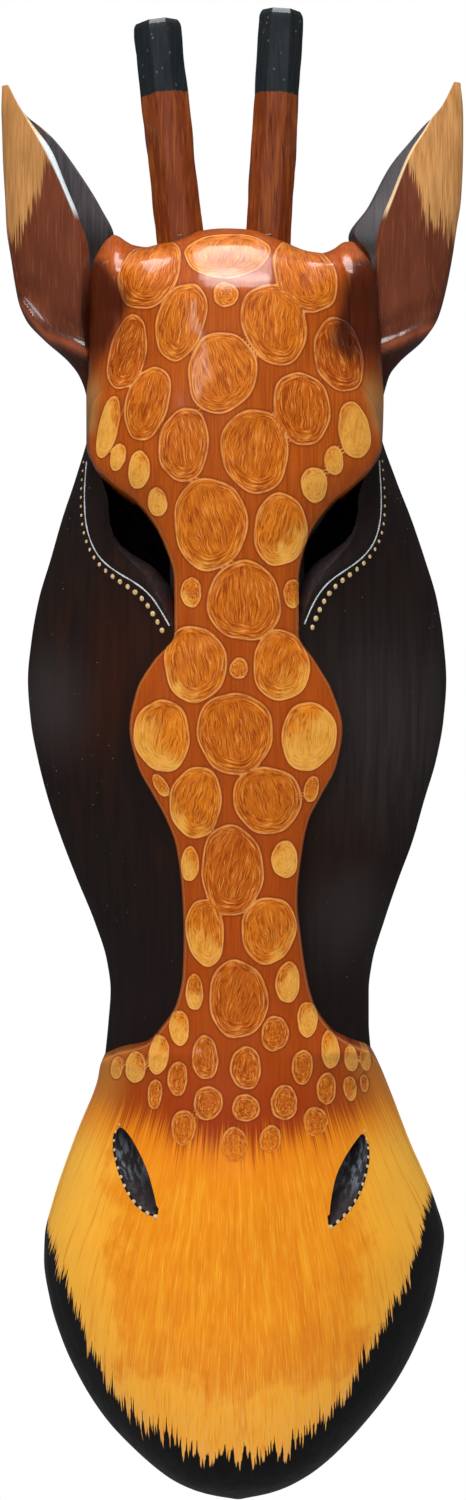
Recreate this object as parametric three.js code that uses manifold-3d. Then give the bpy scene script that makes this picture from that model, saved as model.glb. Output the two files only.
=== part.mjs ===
// Carved giraffe wall mask: one hollow-backed face with two fitted horns and two
// fitted ears, hung from a D-ring. Millimetres, +Z up, the face looks along -Y and
// the wall plane is y = 0. The origin is where the wall nail carries the ring.
import * as THREE from 'three';
import { mergeVertices } from 'three/addons/utils/BufferGeometryUtils.js';
import Module from 'manifold-3d';

const wasm = await Module();
wasm.setup();

// ---------- sizes that may be changed ----------
const faceHeight = 857; // chin tip to the top of the brow
const faceWidth = 280; // across the cheeks and lips
const faceDepth = 115; // wall plane to the brow
const gap = 0.3; // clearance wherever two pieces meet
const earWall = 8; // thickness of an ear flap near its foot
const dowelRadius = 4;
const dowelLength = 34;
const hornWidth = 31; // across the flats, at the foot
const tenonRadius = 10;
const tenonLength = 32;
const nailRadius = 1.3;
const nailLength = 44;
const eyeFloor = 18; // wood left behind each eye socket
const nostrilDepth = 15;
const ringWire = 1.5; // radius of the D-ring's wire
const ringReach = 18; // pivot to the far end of the D-ring, wire centres
const ringBar = 1.53; // the straight bar is a little stouter than the bent wire
const strapWidth = 12;
const strapThickness = 1.2;
const strapLength = 32;
const screwRadius = 1.5;
const screwLength = 16;
const padDepth = 8; // recess in the back that takes the hanger

// The outlines below are drawn for a face 857 tall, 280 wide and 115 deep.
const tall = faceHeight / 857;
const wide = faceWidth / 280;
const deep = faceDepth / 115;
const hangHeight = 789 * tall;

// x to the viewer's right, height above the chin tip, depth out from the wall
const at = (x, height, depth) => new THREE.Vector3(x * wide, -depth * deep, height * tall - hangHeight);

// ---------- outlines: [height above chin, left, right] ----------
const faceEdge = [
  [0, 5, 8], [5, 28, 28], [12, 43.5, 43], [26, 62, 62.5], [53, 88, 88], [80, 105.5, 108],
  [107, 118, 122], [135, 126.5, 132.5], [162, 130.5, 138], [178, 130, 140], [200, 125, 134.5],
  [244, 110, 116], [284, 94, 100.5], [300, 90, 93.5], [308, 78, 88], [315, 58.5, 74], [323, 51, 62],
  [342, 39, 49.5], [361, 35, 44.5], [385, 34.2, 41], [410, 35, 38.5], [445, 39, 42], [463, 45.5, 46],
  [479, 54, 54], [499, 64.5, 64], [523, 69.6, 68], [548, 65, 61], [567, 54, 50], [585, 40, 39.2],
  [620, 40.3, 39.2], [648, 48.6, 45.5], [671, 64, 60.5], [684, 81, 76], [699, 95, 90],
  [712, 98.5, 95.5], [750, 95, 90], [782, 83, 68], [824, 63, 57], [846, 58, 52], [852, 42, 40],
  [857, 14, 14],
];
const faceSide = [
  [0, 6, 9], [5, 29, 29], [12, 44.5, 44], [26, 63, 63.5], [53, 89, 89], [80, 106.5, 109],
  [107, 119, 123], [135, 127.5, 133.5], [162, 131.5, 139], [178, 131, 141], [200, 126, 135.5],
  [244, 111, 117], [284, 95, 101.5], [300, 91, 94.5], [308, 79, 89], [315, 59.5, 75], [323, 52, 63],
  [342, 40, 50.5], [361, 36, 45.5], [385, 35.2, 42], [410, 36, 39.5], [445, 40, 43], [463, 46.5, 47],
  [479, 55, 55], [499, 65.5, 65], [523, 70.6, 69], [548, 66, 62], [567, 55, 51], [585, 41, 40.2],
  [620, 41.3, 40.2], [648, 49.6, 46.5], [671, 65, 61.5], [684, 82, 77], [699, 96, 91],
  [712, 99.5, 96.5], [750, 98, 95], [782, 96, 93], [832, 95, 91], [846, 86, 83], [852, 58, 55],
  [857, 18, 18],
];
const cheekEdge = [
  [298, 90.5, 92], [323, 88, 90], [345, 86.5, 90], [365, 89, 92.5], [392, 97.5, 100.5],
  [420, 109, 110], [447, 119.5, 120], [475, 129, 128], [502, 136, 136], [529, 141, 141],
  [557, 143, 143], [584, 140.5, 141], [612, 135.5, 136.5], [639, 127.5, 128.5], [667, 119.5, 119],
  [694, 111, 109], [727, 103.5, 100], [770, 102, 98.5],
];
const hollowEdge = [
  [62, 18, 18], [70, 36, 36], [85, 56, 56], [110, 80, 82], [150, 98, 102], [190, 98, 104],
  [230, 86, 90], [270, 74, 78], [310, 62, 64], [345, 60, 62], [400, 72, 75], [450, 92, 93],
  [500, 108, 108], [545, 110, 110], [560, 92, 92], [572, 50, 50], [584, 27, 27], [690, 25, 25],
  [700, 16, 16],
];

// ---------- depths: [height above chin, out from the wall] ----------
const faceMiddle = [
  [0, 28], [8, 46], [20, 66], [40, 84], [80, 101], [137, 112], [217, 115], [270, 107], [308, 101],
  [350, 98], [420, 98], [527, 105], [584, 107], [633, 110], [700, 114], [740, 115], [800, 112],
  [824, 101], [838, 88], [850, 70], [857, 60],
];
const faceShoulder = [
  [0, 20], [8, 23], [40, 25], [137, 28], [217, 29], [270, 33], [290, 42], [303, 58], [312, 78],
  [330, 84], [420, 90], [527, 95], [600, 99], [650, 95], [690, 84], [712, 76], [750, 82], [800, 84],
  [824, 78], [838, 68], [857, 50],
];
const faceFlank = [
  [0, 17], [40, 22], [217, 25], [270, 29], [290, 38], [303, 54], [312, 74], [330, 80], [420, 86],
  [527, 91], [600, 95], [650, 91], [690, 76], [712, 48], [750, 46], [800, 44], [857, 34],
];
const cheekMiddle = [[298, 84], [345, 86], [420, 86], [527, 100], [584, 95], [650, 95], [712, 80], [770, 60]];
const hollowMiddle = [[62, 14], [80, 42], [110, 64], [190, 82], [270, 80], [420, 72], [520, 80], [600, 84], [700, 62]];

// ---------- small shapes ----------
const leftEye = [
  [-100.5, 712], [-101.8, 696], [-102.2, 683], [-101.6, 668], [-99.6, 656], [-95, 644], [-88.5, 635],
  [-78, 627], [-66, 620], [-56, 611.5], [-48.5, 600], [-43.5, 591], [-39, 583.5], [-30, 586],
  [-30, 650], [-50, 676], [-76, 698], [-92, 716],
];
const rightEye = [
  [94.5, 712], [95.4, 696], [96, 683], [95.6, 668], [93.6, 656], [89.5, 646], [82, 637], [72, 629.5],
  [61, 622], [53, 613], [47.5, 603], [43, 592], [39.5, 582.5], [30, 586], [30, 650], [48, 676],
  [74, 698], [88, 716],
];
const leftNostril = [
  [-77.5, 261], [-81, 255], [-81, 245], [-78.4, 235], [-75, 227], [-71, 219.5], [-66, 213],
  [-59.5, 208.5], [-53, 206.5], [-52.3, 212], [-55, 224], [-58.5, 235], [-64.7, 247], [-71, 256],
];
const rightNostril = [
  [83.7, 257], [86, 248], [86, 238.5], [84, 230], [81, 221.5], [77, 214.5], [71.5, 208],
  [65, 202], [60.5, 199.5], [59.8, 206], [61, 217], [64, 231], [70, 242], [78, 252],
];

// Ear stations: [height above chin, fold x, front edge x, rear edge x, rear depth, front depth]
const leftEar = [
  [752.6, 103, 94, 94, 30, 56], [762, 109, 94, 94, 24, 62], [771, 116.5, 94, 94, 20, 66],
  [785, 131, 94, 94, 17, 71], [798, 142.5, 94, 94, 16, 74], [812, 147.5, 96, 94, 16, 76],
  [839, 152, 101, 92, 16, 77], [859, 155, 106, 84, 17, 76], [879, 156, 114.5, 92, 20, 73],
  [906, 157.5, 127, 108.5, 26, 67], [926, 158.2, 138, 125, 32, 61], [946, 158.8, 149, 144, 40, 54],
  [955, 158, 153.5, 153, 44, 51],
];
const rightEar = [
  [752.6, 99, 90, 90, 30, 56], [762, 105, 90, 90, 24, 62], [771, 112.5, 90, 90, 20, 66],
  [785, 127, 90, 90, 17, 71], [798, 134.5, 90, 90, 16, 74], [812, 139, 90, 90, 16, 76],
  [839, 144.5, 93.5, 84, 16, 77], [859, 147.5, 97.5, 76, 17, 76], [879, 150.5, 105, 88, 20, 73],
  [906, 151.8, 116, 101.5, 26, 67], [926, 152, 127.5, 119, 32, 61], [946, 151.3, 141, 137.5, 40, 54],
  [957, 150, 145.5, 145, 44, 51],
];
const leftSeat = -94; // flat on the head's side that takes the left ear
const rightSeat = 90;
const seatFoot = 752;
const earHollowFoot = 802;

// Horns: foot and tip centres
const leftHorn = { foot: [-37.4, 846.5, 46], tip: [-53.2, 995, 46], tipWidth: 32 };
const rightHorn = { foot: [20.4, 846.5, 46], tip: [29.6, 1002, 46], tipWidth: 29.5 };

// ---------- helpers ----------
// A smooth value that passes through every [place, value] pair without overshoot
function smooth(pairs) {
  const last = pairs.length - 1;
  const slopes = [];
  for (let i = 0; i < last; i += 1) {
    slopes.push((pairs[i + 1][1] - pairs[i][1]) / (pairs[i + 1][0] - pairs[i][0]));
  }
  const tangent = (i) => {
    if (i === 0) return slopes[0];
    if (i === last) return slopes[last - 1];
    if (slopes[i - 1] * slopes[i] <= 0) return 0;
    return (2 * slopes[i - 1] * slopes[i]) / (slopes[i - 1] + slopes[i]);
  };
  return (place) => {
    let i = 0;
    while (i < last - 1 && place > pairs[i + 1][0]) i += 1;
    const span = pairs[i + 1][0] - pairs[i][0];
    const t = Math.min(1, Math.max(0, (place - pairs[i][0]) / span));
    const rise = t * t * (3 - 2 * t);
    const start = pairs[i][1] * (1 - rise) + tangent(i) * span * t * (1 - t) * (1 - t);
    const finish = pairs[i + 1][1] * rise - tangent(i + 1) * span * t * t * (1 - t);
    return start + finish;
  };
}

const column = (rows, index) => smooth(rows.map((row) => [row[0], row[index]]));

function solidFrom(points, faces) {
  let volume = 0;
  for (let i = 0; i < faces.length; i += 3) {
    const cross = new THREE.Vector3().crossVectors(points[faces[i + 1]], points[faces[i + 2]]);
    volume += points[faces[i]].dot(cross);
  }
  const outward = volume > 0 ? faces : [...faces].reverse();
  const vertProperties = Float32Array.from(points.flatMap((p) => [p.x, p.y, p.z]));
  const mesh = new wasm.Mesh({ numProp: 3, vertProperties, triVerts: Uint32Array.from(outward) });
  return new wasm.Manifold(mesh);
}

// Rings of equal length, one above the other, closed at both ends
function loft(rings) {
  const count = rings[0].length;
  const points = rings.flat();
  const faces = [];
  for (let r = 0; r + 1 < rings.length; r += 1) {
    for (let i = 0; i < count; i += 1) {
      const a = r * count + i;
      const b = r * count + ((i + 1) % count);
      faces.push(a, b, b + count, a, b + count, a + count);
    }
  }
  for (const r of [0, rings.length - 1]) {
    const centre = new THREE.Vector3();
    rings[r].forEach((p) => centre.addScaledVector(p, 1 / count));
    points.push(centre);
    for (let i = 0; i < count; i += 1) {
      const a = r * count + i;
      const b = r * count + ((i + 1) % count);
      if (r === 0) faces.push(b, a, points.length - 1);
      else faces.push(a, b, points.length - 1);
    }
  }
  return solidFrom(points, faces);
}

function fromGeometry(geometry, matrix) {
  geometry.deleteAttribute('normal');
  geometry.deleteAttribute('uv');
  const merged = mergeVertices(geometry, 1e-4);
  if (matrix) merged.applyMatrix4(matrix);
  const place = merged.attributes.position;
  const points = [];
  for (let i = 0; i < place.count; i += 1) points.push(new THREE.Vector3().fromBufferAttribute(place, i));
  return solidFrom(points, Array.from(merged.index.array));
}

// A straight-sided cutter that runs between two depths
function cutter(outline, near, far) {
  const front = outline.map(([x, height]) => at(x, height, far));
  const shape = new THREE.Shape(front.map((p) => new THREE.Vector2(p.x, p.z)));
  const length = (far - near) * deep;
  const geometry = new THREE.ExtrudeGeometry(shape, { depth: length, bevelEnabled: false });
  const turn = new THREE.Matrix4().makeRotationX(Math.PI / 2);
  turn.setPosition(0, -near * deep, 0);
  return fromGeometry(geometry, turn);
}

function box(low, high) {
  const size = new THREE.Vector3().subVectors(high, low);
  const centre = new THREE.Vector3().addVectors(high, low).multiplyScalar(0.5);
  const geometry = new THREE.BoxGeometry(size.x, size.y, size.z);
  return fromGeometry(geometry, new THREE.Matrix4().setPosition(centre));
}

// A turned piece: profile of [radius, distance] pairs, from start towards direction
function turned(profile, start, direction, sides) {
  const outline = profile.map(([radius, distance]) => new THREE.Vector2(radius, distance));
  const geometry = new THREE.LatheGeometry(outline, sides);
  const aim = new THREE.Quaternion();
  aim.setFromUnitVectors(new THREE.Vector3(0, 1, 0), direction.clone().normalize());
  const matrix = new THREE.Matrix4().compose(start, aim, new THREE.Vector3(1, 1, 1));
  return fromGeometry(geometry, matrix);
}

const rod = (radius, from, to, sides) => {
  const direction = new THREE.Vector3().subVectors(to, from);
  const length = direction.length();
  return turned([[0, 0], [radius, 0], [radius, length], [0, length]], from, direction, sides);
};

const steps = (from, to, step) => {
  const count = Math.ceil((to - from) / step);
  return Array.from({ length: count + 1 }, (_, i) => from + ((to - from) * i) / count);
};

// ---------- carved face ----------
const edgeLeft = column(faceEdge, 1);
const edgeRight = column(faceEdge, 2);
const sideLeft = column(faceSide, 1);
const sideRight = column(faceSide, 2);
const middleDepth = column(faceMiddle, 1);
const shoulderDepth = column(faceShoulder, 1);
const flankDepth = column(faceFlank, 1);
const archSteps = steps(-1, 1, 0.167);

function faceRing(height, inset) {
  const middle = middleDepth(height) - inset;
  const shoulder = shoulderDepth(height) - inset;
  const flank = flankDepth(height) - inset;
  const ring = [at(-sideLeft(height), height, 0), at(-sideLeft(height), height, flank)];
  for (const u of archSteps) {
    const x = u < 0 ? u * edgeLeft(height) : u * edgeRight(height);
    const rise = (1 - Math.abs(u) ** 2.4) ** 0.8;
    ring.push(at(x, height, shoulder + (middle - shoulder) * rise));
  }
  ring.push(at(sideRight(height), height, flank), at(sideRight(height), height, 0));
  return ring;
}

const faceHeights = [0, 3, 8, 16, ...steps(28, 280, 18), ...steps(289, 331, 6), ...steps(342, 558, 12),
  ...steps(566, 590, 8), ...steps(604, 644, 13.4), ...steps(654, 714, 7.5), ...steps(732, 822, 18),
  832, 840, 846, 852, 857];

const cheekLeft = column(cheekEdge, 1);
const cheekRight = column(cheekEdge, 2);
const cheekDepth = column(cheekMiddle, 1);

function cheekRing(height) {
  const ring = [at(-cheekLeft(height), height, 0)];
  for (const u of steps(-1, 1, 0.16)) {
    const x = u < 0 ? u * cheekLeft(height) : u * cheekRight(height);
    ring.push(at(x, height, 20 + (cheekDepth(height) - 20) * (1 - u * u)));
  }
  ring.push(at(cheekRight(height), height, 0));
  return ring;
}

const hollowLeft = column(hollowEdge, 1);
const hollowRight = column(hollowEdge, 2);
const hollowDepth = column(hollowMiddle, 1);

function hollowRing(height) {
  const ring = [at(-hollowLeft(height), height, -6)];
  for (const u of steps(-1, 1, 0.2)) {
    const x = u < 0 ? u * hollowLeft(height) : u * hollowRight(height);
    ring.push(at(x, height, hollowDepth(height) * (1 - Math.abs(u) ** 2.2)));
  }
  ring.push(at(hollowRight(height), height, -6));
  return ring;
}

const face = loft(faceHeights.map((height) => faceRing(height, 0)));
const nostrilFloor = loft(steps(180, 290, 10).map((height) => faceRing(height, nostrilDepth / deep)));
const cheeks = loft(steps(298, 770, 16).map((height) => cheekRing(height)));
const hollow = loft([62, 70, 82, ...steps(96, 536, 24), ...steps(546, 588, 7), 640, 690, 700]
  .map((height) => hollowRing(height)));
const eyes = [leftEye, rightEye].map((outline) => cutter(outline, eyeFloor / deep, 160));
const nostrils = [leftNostril, rightNostril].map((outline) => cutter(outline, 30, 160).subtract(nostrilFloor));

let mask = cheeks.subtract(eyes[0]).subtract(eyes[1]).add(face).subtract(hollow);
nostrils.forEach((nostril) => {
  mask = mask.subtract(nostril);
});

// Flats for the ears, with a small ledge under each
const far = 400;
mask = mask.subtract(box(at(-far, seatFoot, far), at(leftSeat, 1200, -20)));
mask = mask.subtract(box(at(rightSeat, seatFoot, far), at(far, 1200, -20)));

// ---------- ears ----------
function earRing(row, side, wall, opening) {
  const [height, fold, frontEdge, rearEdge, rear, front] = row;
  const innerRear = rear + wall;
  const innerFront = front - wall;
  const ring = [];
  for (const v of steps(-1, 1, 0.2)) {
    const edge = (v < 0 ? rearEdge : frontEdge) - opening;
    const bow = Math.abs(v) ** 1.9;
    const x = fold - wall + (edge - fold + wall) * bow;
    ring.push(at(side * x, height, (innerRear + innerFront) / 2 + (v * (innerFront - innerRear)) / 2));
  }
  return ring;
}

function earStations(rows, heights) {
  const columns = [1, 2, 3, 4, 5].map((index) => column(rows, index));
  return heights.map((height) => [height, ...columns.map((value) => value(height))]);
}

function makeEar(rows, side, seat, dowels) {
  const top = rows[rows.length - 1][0];
  const blankRows = earStations(rows, steps(rows[0][0], top, 10));
  const blank = loft(blankRows.map((row) => earRing(row, side, 0, 0)));
  const hollowTop = top - 14;
  const hollowRows = earStations(rows, steps(earHollowFoot, hollowTop, 10));
  const scoop = loft(hollowRows.map((row, i) => {
    const done = i / (hollowRows.length - 1);
    const wall = earWall * (1.25 - 0.25 * Math.min(1, done * 5)) * (1 - 0.55 * done);
    const opening = i === 0 ? -10 : 16;
    return earRing(row, side, wall, opening);
  }));
  let ear = blank.subtract(scoop);
  const inner = seat + side * gap / wide;
  const headSide = side < 0 ? box(at(inner, 700, far), at(0, 858, -20)) : box(at(0, 700, far), at(inner, 858, -20));
  ear = ear.subtract(headSide);
  dowels.forEach((dowel) => {
    ear = ear.subtract(dowel.hole);
  });
  return ear;
}

function makeDowel(side, seat, depth) {
  const middle = at(seat, 780, depth);
  const reach = new THREE.Vector3(dowelLength / 2, 0, 0);
  const slack = new THREE.Vector3(dowelLength / 2 + 1, 0, 0);
  middle.x += side * gap / 2;
  const from = middle.clone().sub(reach);
  const to = middle.clone().add(reach);
  const piece = rod(dowelRadius, from, to, 20);
  const hole = rod(dowelRadius + gap, middle.clone().sub(slack), middle.clone().add(slack), 20);
  return { piece, hole };
}

const leftDowels = [makeDowel(-1, leftSeat, 58), makeDowel(-1, leftSeat, 32)];
const rightDowels = [makeDowel(1, rightSeat, 58), makeDowel(1, rightSeat, 32)];
[...leftDowels, ...rightDowels].forEach((dowel) => {
  mask = mask.subtract(dowel.hole);
});
const leftEarPiece = makeEar(leftEar, -1, leftSeat, leftDowels);
const rightEarPiece = makeEar(rightEar, 1, rightSeat, rightDowels);

// ---------- horns, each held by a tenon and a toed nail ----------
function octagon(centre, width, along) {
  const right = new THREE.Vector3(0, -1, 0).cross(along).normalize();
  const forward = new THREE.Vector3().crossVectors(along, right).normalize();
  const radius = width / 2 / Math.cos(Math.PI / 8);
  return Array.from({ length: 8 }, (_, i) => {
    const angle = Math.PI / 8 + (i * Math.PI) / 4;
    const point = centre.clone().addScaledVector(right, radius * Math.cos(angle));
    return point.addScaledVector(forward, radius * Math.sin(angle));
  });
}

function makeHorn({ foot, tip, tipWidth }) {
  const footCentre = at(...foot);
  const tipCentre = at(...tip);
  const along = new THREE.Vector3().subVectors(tipCentre, footCentre).normalize();
  const length = tipCentre.distanceTo(footCentre);
  const ringAt = (share, width) => octagon(footCentre.clone().addScaledVector(along, length * share), width, along);
  const shaft = loft([ringAt(0, hornWidth), ringAt(0.5, (hornWidth + tipWidth) / 2), ringAt(0.975, tipWidth),
    ringAt(1, tipWidth - 6)]);
  const tenonEnd = footCentre.clone().addScaledVector(along, -tenonLength);
  const tenonStart = footCentre.clone().addScaledVector(along, 4);
  const socketEnd = footCentre.clone().addScaledVector(along, -tenonLength - 1);
  const socket = rod(tenonRadius + gap, tenonStart, socketEnd, 24);
  const clear = footCentre.clone().addScaledVector(along, -gap);
  const above = footCentre.clone().addScaledVector(along, 40);
  const seat = rod(hornWidth * 0.56 + gap, clear, above, 24);
  const nailDirection = new THREE.Vector3(0, 0.62, -1).normalize();
  const nailStart = footCentre.clone().addScaledVector(along, 7);
  nailStart.y -= hornWidth / 2 - 1.4;
  const nailProfile = [[0, 0], [nailRadius * 2, 0], [nailRadius * 2, 1.2], [nailRadius, 1.6],
    [nailRadius, nailLength - 3], [0, nailLength]];
  const nail = turned(nailProfile, nailStart, nailDirection, 12);
  const holeProfile = [[0, -9], [nailRadius * 2 + gap, -9], [nailRadius * 2 + gap, 1.9], [nailRadius + gap, 1.9],
    [nailRadius + gap, nailLength + 1], [0, nailLength + 1]];
  const nailHole = turned(holeProfile, nailStart, nailDirection, 12);
  const horn = shaft.add(rod(tenonRadius, tenonStart, tenonEnd, 24)).subtract(nailHole);
  return { horn, nail, cuts: [socket, seat, nailHole] };
}

const leftHornSet = makeHorn(leftHorn);
const rightHornSet = makeHorn(rightHorn);
[...leftHornSet.cuts, ...rightHornSet.cuts].forEach((cut) => {
  mask = mask.subtract(cut);
});

// ---------- hanger ----------
const loopInner = ringWire + gap;
const loopOuter = loopInner + strapThickness;
const ringLean = Math.asin((loopOuter - ringWire) / ringReach); // the ring leans on the wood
const pivotY = -(padDepth - gap - loopOuter);
const pivotZ = ringWire - ringReach * Math.cos(ringLean);
const pivot = new THREE.Vector3(0, pivotY, pivotZ);

const padLow = new THREE.Vector3(-24, -padDepth, pivotZ - strapLength - 6);
const padHigh = new THREE.Vector3(24, 6, ringWire * 2 + 10);
mask = mask.subtract(box(padLow, padHigh));

function makeRing() {
  const half = strapWidth / 2 + 2 + ringWire;
  const path = new THREE.CatmullRomCurve3([
    new THREE.Vector3(-half, 0, 0), new THREE.Vector3(-half, 0, ringReach * 0.35),
    new THREE.Vector3(-half * 0.74, 0, ringReach * 0.78), new THREE.Vector3(0, 0, ringReach),
    new THREE.Vector3(half * 0.74, 0, ringReach * 0.78), new THREE.Vector3(half, 0, ringReach * 0.35),
    new THREE.Vector3(half, 0, 0),
  ]);
  const wire = new THREE.Shape();
  wire.absarc(0, 0, ringWire, 0, Math.PI * 2);
  const geometry = new THREE.ExtrudeGeometry(wire, { extrudePath: path, steps: 20, curveSegments: 5 });
  const arch = fromGeometry(geometry);
  const ends = [new THREE.Vector3(-half - 0.4, 0, 0), new THREE.Vector3(half + 0.4, 0, 0)];
  const bar = rod(ringBar, ends[0], ends[1], 24);
  const lean = new THREE.Matrix4().makeRotationX(ringLean).setPosition(pivot);
  return arch.add(bar).transform(lean.elements);
}

function makeStrap(screws) {
  const halfWidth = strapWidth / 2;
  const left = new THREE.Vector3(-halfWidth, pivotY, pivotZ);
  const right = new THREE.Vector3(halfWidth, pivotY, pivotZ);
  const plateLow = new THREE.Vector3(-halfWidth, -padDepth + gap, pivotZ - strapLength);
  const plateHigh = new THREE.Vector3(halfWidth, -padDepth + gap + strapThickness, pivotZ);
  const boreEnds = [left.clone().setX(-halfWidth - 2), right.clone().setX(halfWidth + 2)];
  let strap = rod(loopOuter, left, right, 20).add(box(plateLow, plateHigh));
  strap = strap.subtract(rod(loopInner, boreEnds[0], boreEnds[1], 20));
  screws.forEach((screw) => {
    strap = strap.subtract(screw.hole);
  });
  return strap;
}

function makeScrew(drop) {
  const inward = new THREE.Vector3(0, -1, 0);
  const headTop = -padDepth + gap + strapThickness + gap + 1.8;
  const start = new THREE.Vector3(0, headTop, pivotZ - drop);
  const profile = [[0, 0], [screwRadius * 1.5, 0], [screwRadius * 2, 0.7], [screwRadius * 2, 1.8],
    [screwRadius, 1.8], [screwRadius, screwLength - 3], [0, screwLength]];
  const slotLow = new THREE.Vector3(-screwRadius * 1.6, headTop - 0.9, start.z - 0.4);
  const slotHigh = new THREE.Vector3(screwRadius * 1.6, headTop + 1, start.z + 0.4);
  const piece = turned(profile, start, inward, 16).subtract(box(slotLow, slotHigh));
  const hole = rod(screwRadius + gap, start, start.clone().addScaledVector(inward, screwLength + 1), 16);
  return { piece, hole };
}

const screws = [makeScrew(strapLength * 0.34), makeScrew(strapLength * 0.78)];
screws.forEach((screw) => {
  mask = mask.subtract(screw.hole);
});

// ---------- assembly ----------
const paints = {
  face: { color: 0x8a4a1c, roughness: 0.35, metalness: 0 },
  ear: { color: 0x5e2c18, roughness: 0.4, metalness: 0 },
  horn: { color: 0x6b3216, roughness: 0.4, metalness: 0 },
  dowel: { color: 0xc9a878, roughness: 0.7, metalness: 0 },
  steel: { color: 0x9a9c9e, roughness: 0.35, metalness: 1 },
};

const group = new THREE.Group();
group.name = 'giraffe_wall_mask';

function addPiece(name, piece, paint) {
  const { vertProperties, triVerts } = piece.getMesh();
  const geometry = new THREE.BufferGeometry();
  geometry.setAttribute('position', new THREE.BufferAttribute(new Float32Array(vertProperties), 3));
  geometry.setIndex(new THREE.BufferAttribute(new Uint32Array(triVerts), 1));
  geometry.computeVertexNormals();
  const mesh = new THREE.Mesh(geometry, new THREE.MeshStandardMaterial(paints[paint]));
  mesh.name = name;
  group.add(mesh);
}

addPiece('mask_body', mask, 'face');
addPiece('left_ear', leftEarPiece, 'ear');
addPiece('right_ear', rightEarPiece, 'ear');
addPiece('left_horn', leftHornSet.horn, 'horn');
addPiece('right_horn', rightHornSet.horn, 'horn');
addPiece('left_ear_dowel_front', leftDowels[0].piece, 'dowel');
addPiece('left_ear_dowel_rear', leftDowels[1].piece, 'dowel');
addPiece('right_ear_dowel_front', rightDowels[0].piece, 'dowel');
addPiece('right_ear_dowel_rear', rightDowels[1].piece, 'dowel');
addPiece('left_horn_nail', leftHornSet.nail, 'steel');
addPiece('right_horn_nail', rightHornSet.nail, 'steel');
addPiece('hanger_strap', makeStrap(screws), 'steel');
addPiece('hanger_ring', makeRing(), 'steel');
addPiece('hanger_screw_upper', screws[0].piece, 'steel');
addPiece('hanger_screw_lower', screws[1].piece, 'steel');

export default group;
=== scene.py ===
"""Looks for the carved giraffe wall mask.

Shapes are written in millimetres as (x, height above the chin, depth out from the
wall) and placed in the row frame by to_row(). Left and right are the viewer's.
"""
import math

import bpy
import numpy as np
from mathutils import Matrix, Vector
from mathutils.bvhtree import BVHTree


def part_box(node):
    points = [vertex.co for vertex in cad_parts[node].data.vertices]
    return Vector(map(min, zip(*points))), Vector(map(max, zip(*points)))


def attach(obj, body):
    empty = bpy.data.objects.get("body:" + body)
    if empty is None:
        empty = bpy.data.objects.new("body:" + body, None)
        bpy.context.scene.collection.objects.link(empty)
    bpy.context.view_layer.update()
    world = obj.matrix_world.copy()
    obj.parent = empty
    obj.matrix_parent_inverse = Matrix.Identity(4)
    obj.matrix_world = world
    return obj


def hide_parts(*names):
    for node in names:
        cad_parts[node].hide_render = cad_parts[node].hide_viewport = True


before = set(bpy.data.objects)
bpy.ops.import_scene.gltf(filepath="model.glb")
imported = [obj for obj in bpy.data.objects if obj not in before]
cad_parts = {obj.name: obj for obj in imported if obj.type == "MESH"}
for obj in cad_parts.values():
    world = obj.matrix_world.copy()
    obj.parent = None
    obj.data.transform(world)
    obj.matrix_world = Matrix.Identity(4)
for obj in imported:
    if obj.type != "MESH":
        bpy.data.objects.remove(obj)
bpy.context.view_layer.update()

MM = 0.001
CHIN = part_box("mask_body")[0].z
BROW_TOP = 857  # height of the brow's crown

# ---------- carved outlines: height, left, right ----------
FACE_EDGE = [
    (0, 5, 8), (5, 28, 28), (12, 43.5, 43), (26, 62, 62.5), (53, 88, 88), (80, 105.5, 108),
    (107, 118, 122), (135, 126.5, 132.5), (162, 130.5, 138), (178, 130, 140), (200, 125, 134.5),
    (244, 110, 116), (284, 94, 100.5), (300, 90, 93.5), (308, 78, 88), (315, 58.5, 74),
    (323, 51, 62), (342, 39, 49.5), (361, 35, 44.5), (385, 34.2, 41), (410, 35, 38.5),
    (445, 39, 42), (463, 45.5, 46), (479, 54, 54), (499, 64.5, 64), (523, 69.6, 68),
    (548, 65, 61), (567, 54, 50), (585, 40, 39.2), (620, 40.3, 39.2), (648, 48.6, 45.5),
    (671, 64, 60.5), (684, 81, 76), (699, 95, 90), (712, 98.5, 95.5), (750, 95, 88),
    (857, 81, 77),
]
TOP_SIDE = [
    (700, 99, 94), (712, 101, 97), (745, 101, 98), (760, 99.5, 97), (800, 99, 96), (825, 98.5, 93),
    (835, 96, 90), (843, 93, 87.5), (851, 89, 84), (857, 84, 80),
]
CHEEK_EDGE = [
    (298, 90.5, 92), (323, 88, 90), (345, 86.5, 90), (365, 89, 92.5), (392, 97.5, 100.5),
    (420, 109, 110), (447, 119.5, 120), (475, 129, 128), (502, 136, 136), (529, 141, 141),
    (557, 143, 143), (584, 140.5, 141), (612, 135.5, 136.5), (639, 127.5, 128.5), (667, 119.5, 119),
    (694, 110.5, 108.5), (727, 101, 97.5), (770, 94, 91),
]
HOLLOW_EDGE = [
    (62, 18, 18), (70, 36, 36), (85, 56, 56), (110, 80, 82), (150, 98, 102), (190, 98, 104),
    (230, 86, 90), (270, 74, 78), (310, 62, 64), (345, 60, 62), (400, 72, 75), (450, 92, 93),
    (500, 108, 108), (545, 110, 110), (560, 92, 92), (572, 50, 50), (584, 27, 27), (690, 25, 25),
    (700, 16, 16),
]
TOP_LINE = [  # the scalloped top of the brow: x, height
    (-84, 855), (-79.5, 853), (-74, 849), (-65, 845), (-52, 847.5), (-38, 850.5), (-25, 855.5),
    (-10, 857), (4, 856.5), (12, 855.5), (22, 852), (35, 847), (49, 842), (59, 841),
    (65, 844.5), (72, 849), (77, 849.5), (82, 847), (88, 843),
]

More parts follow.
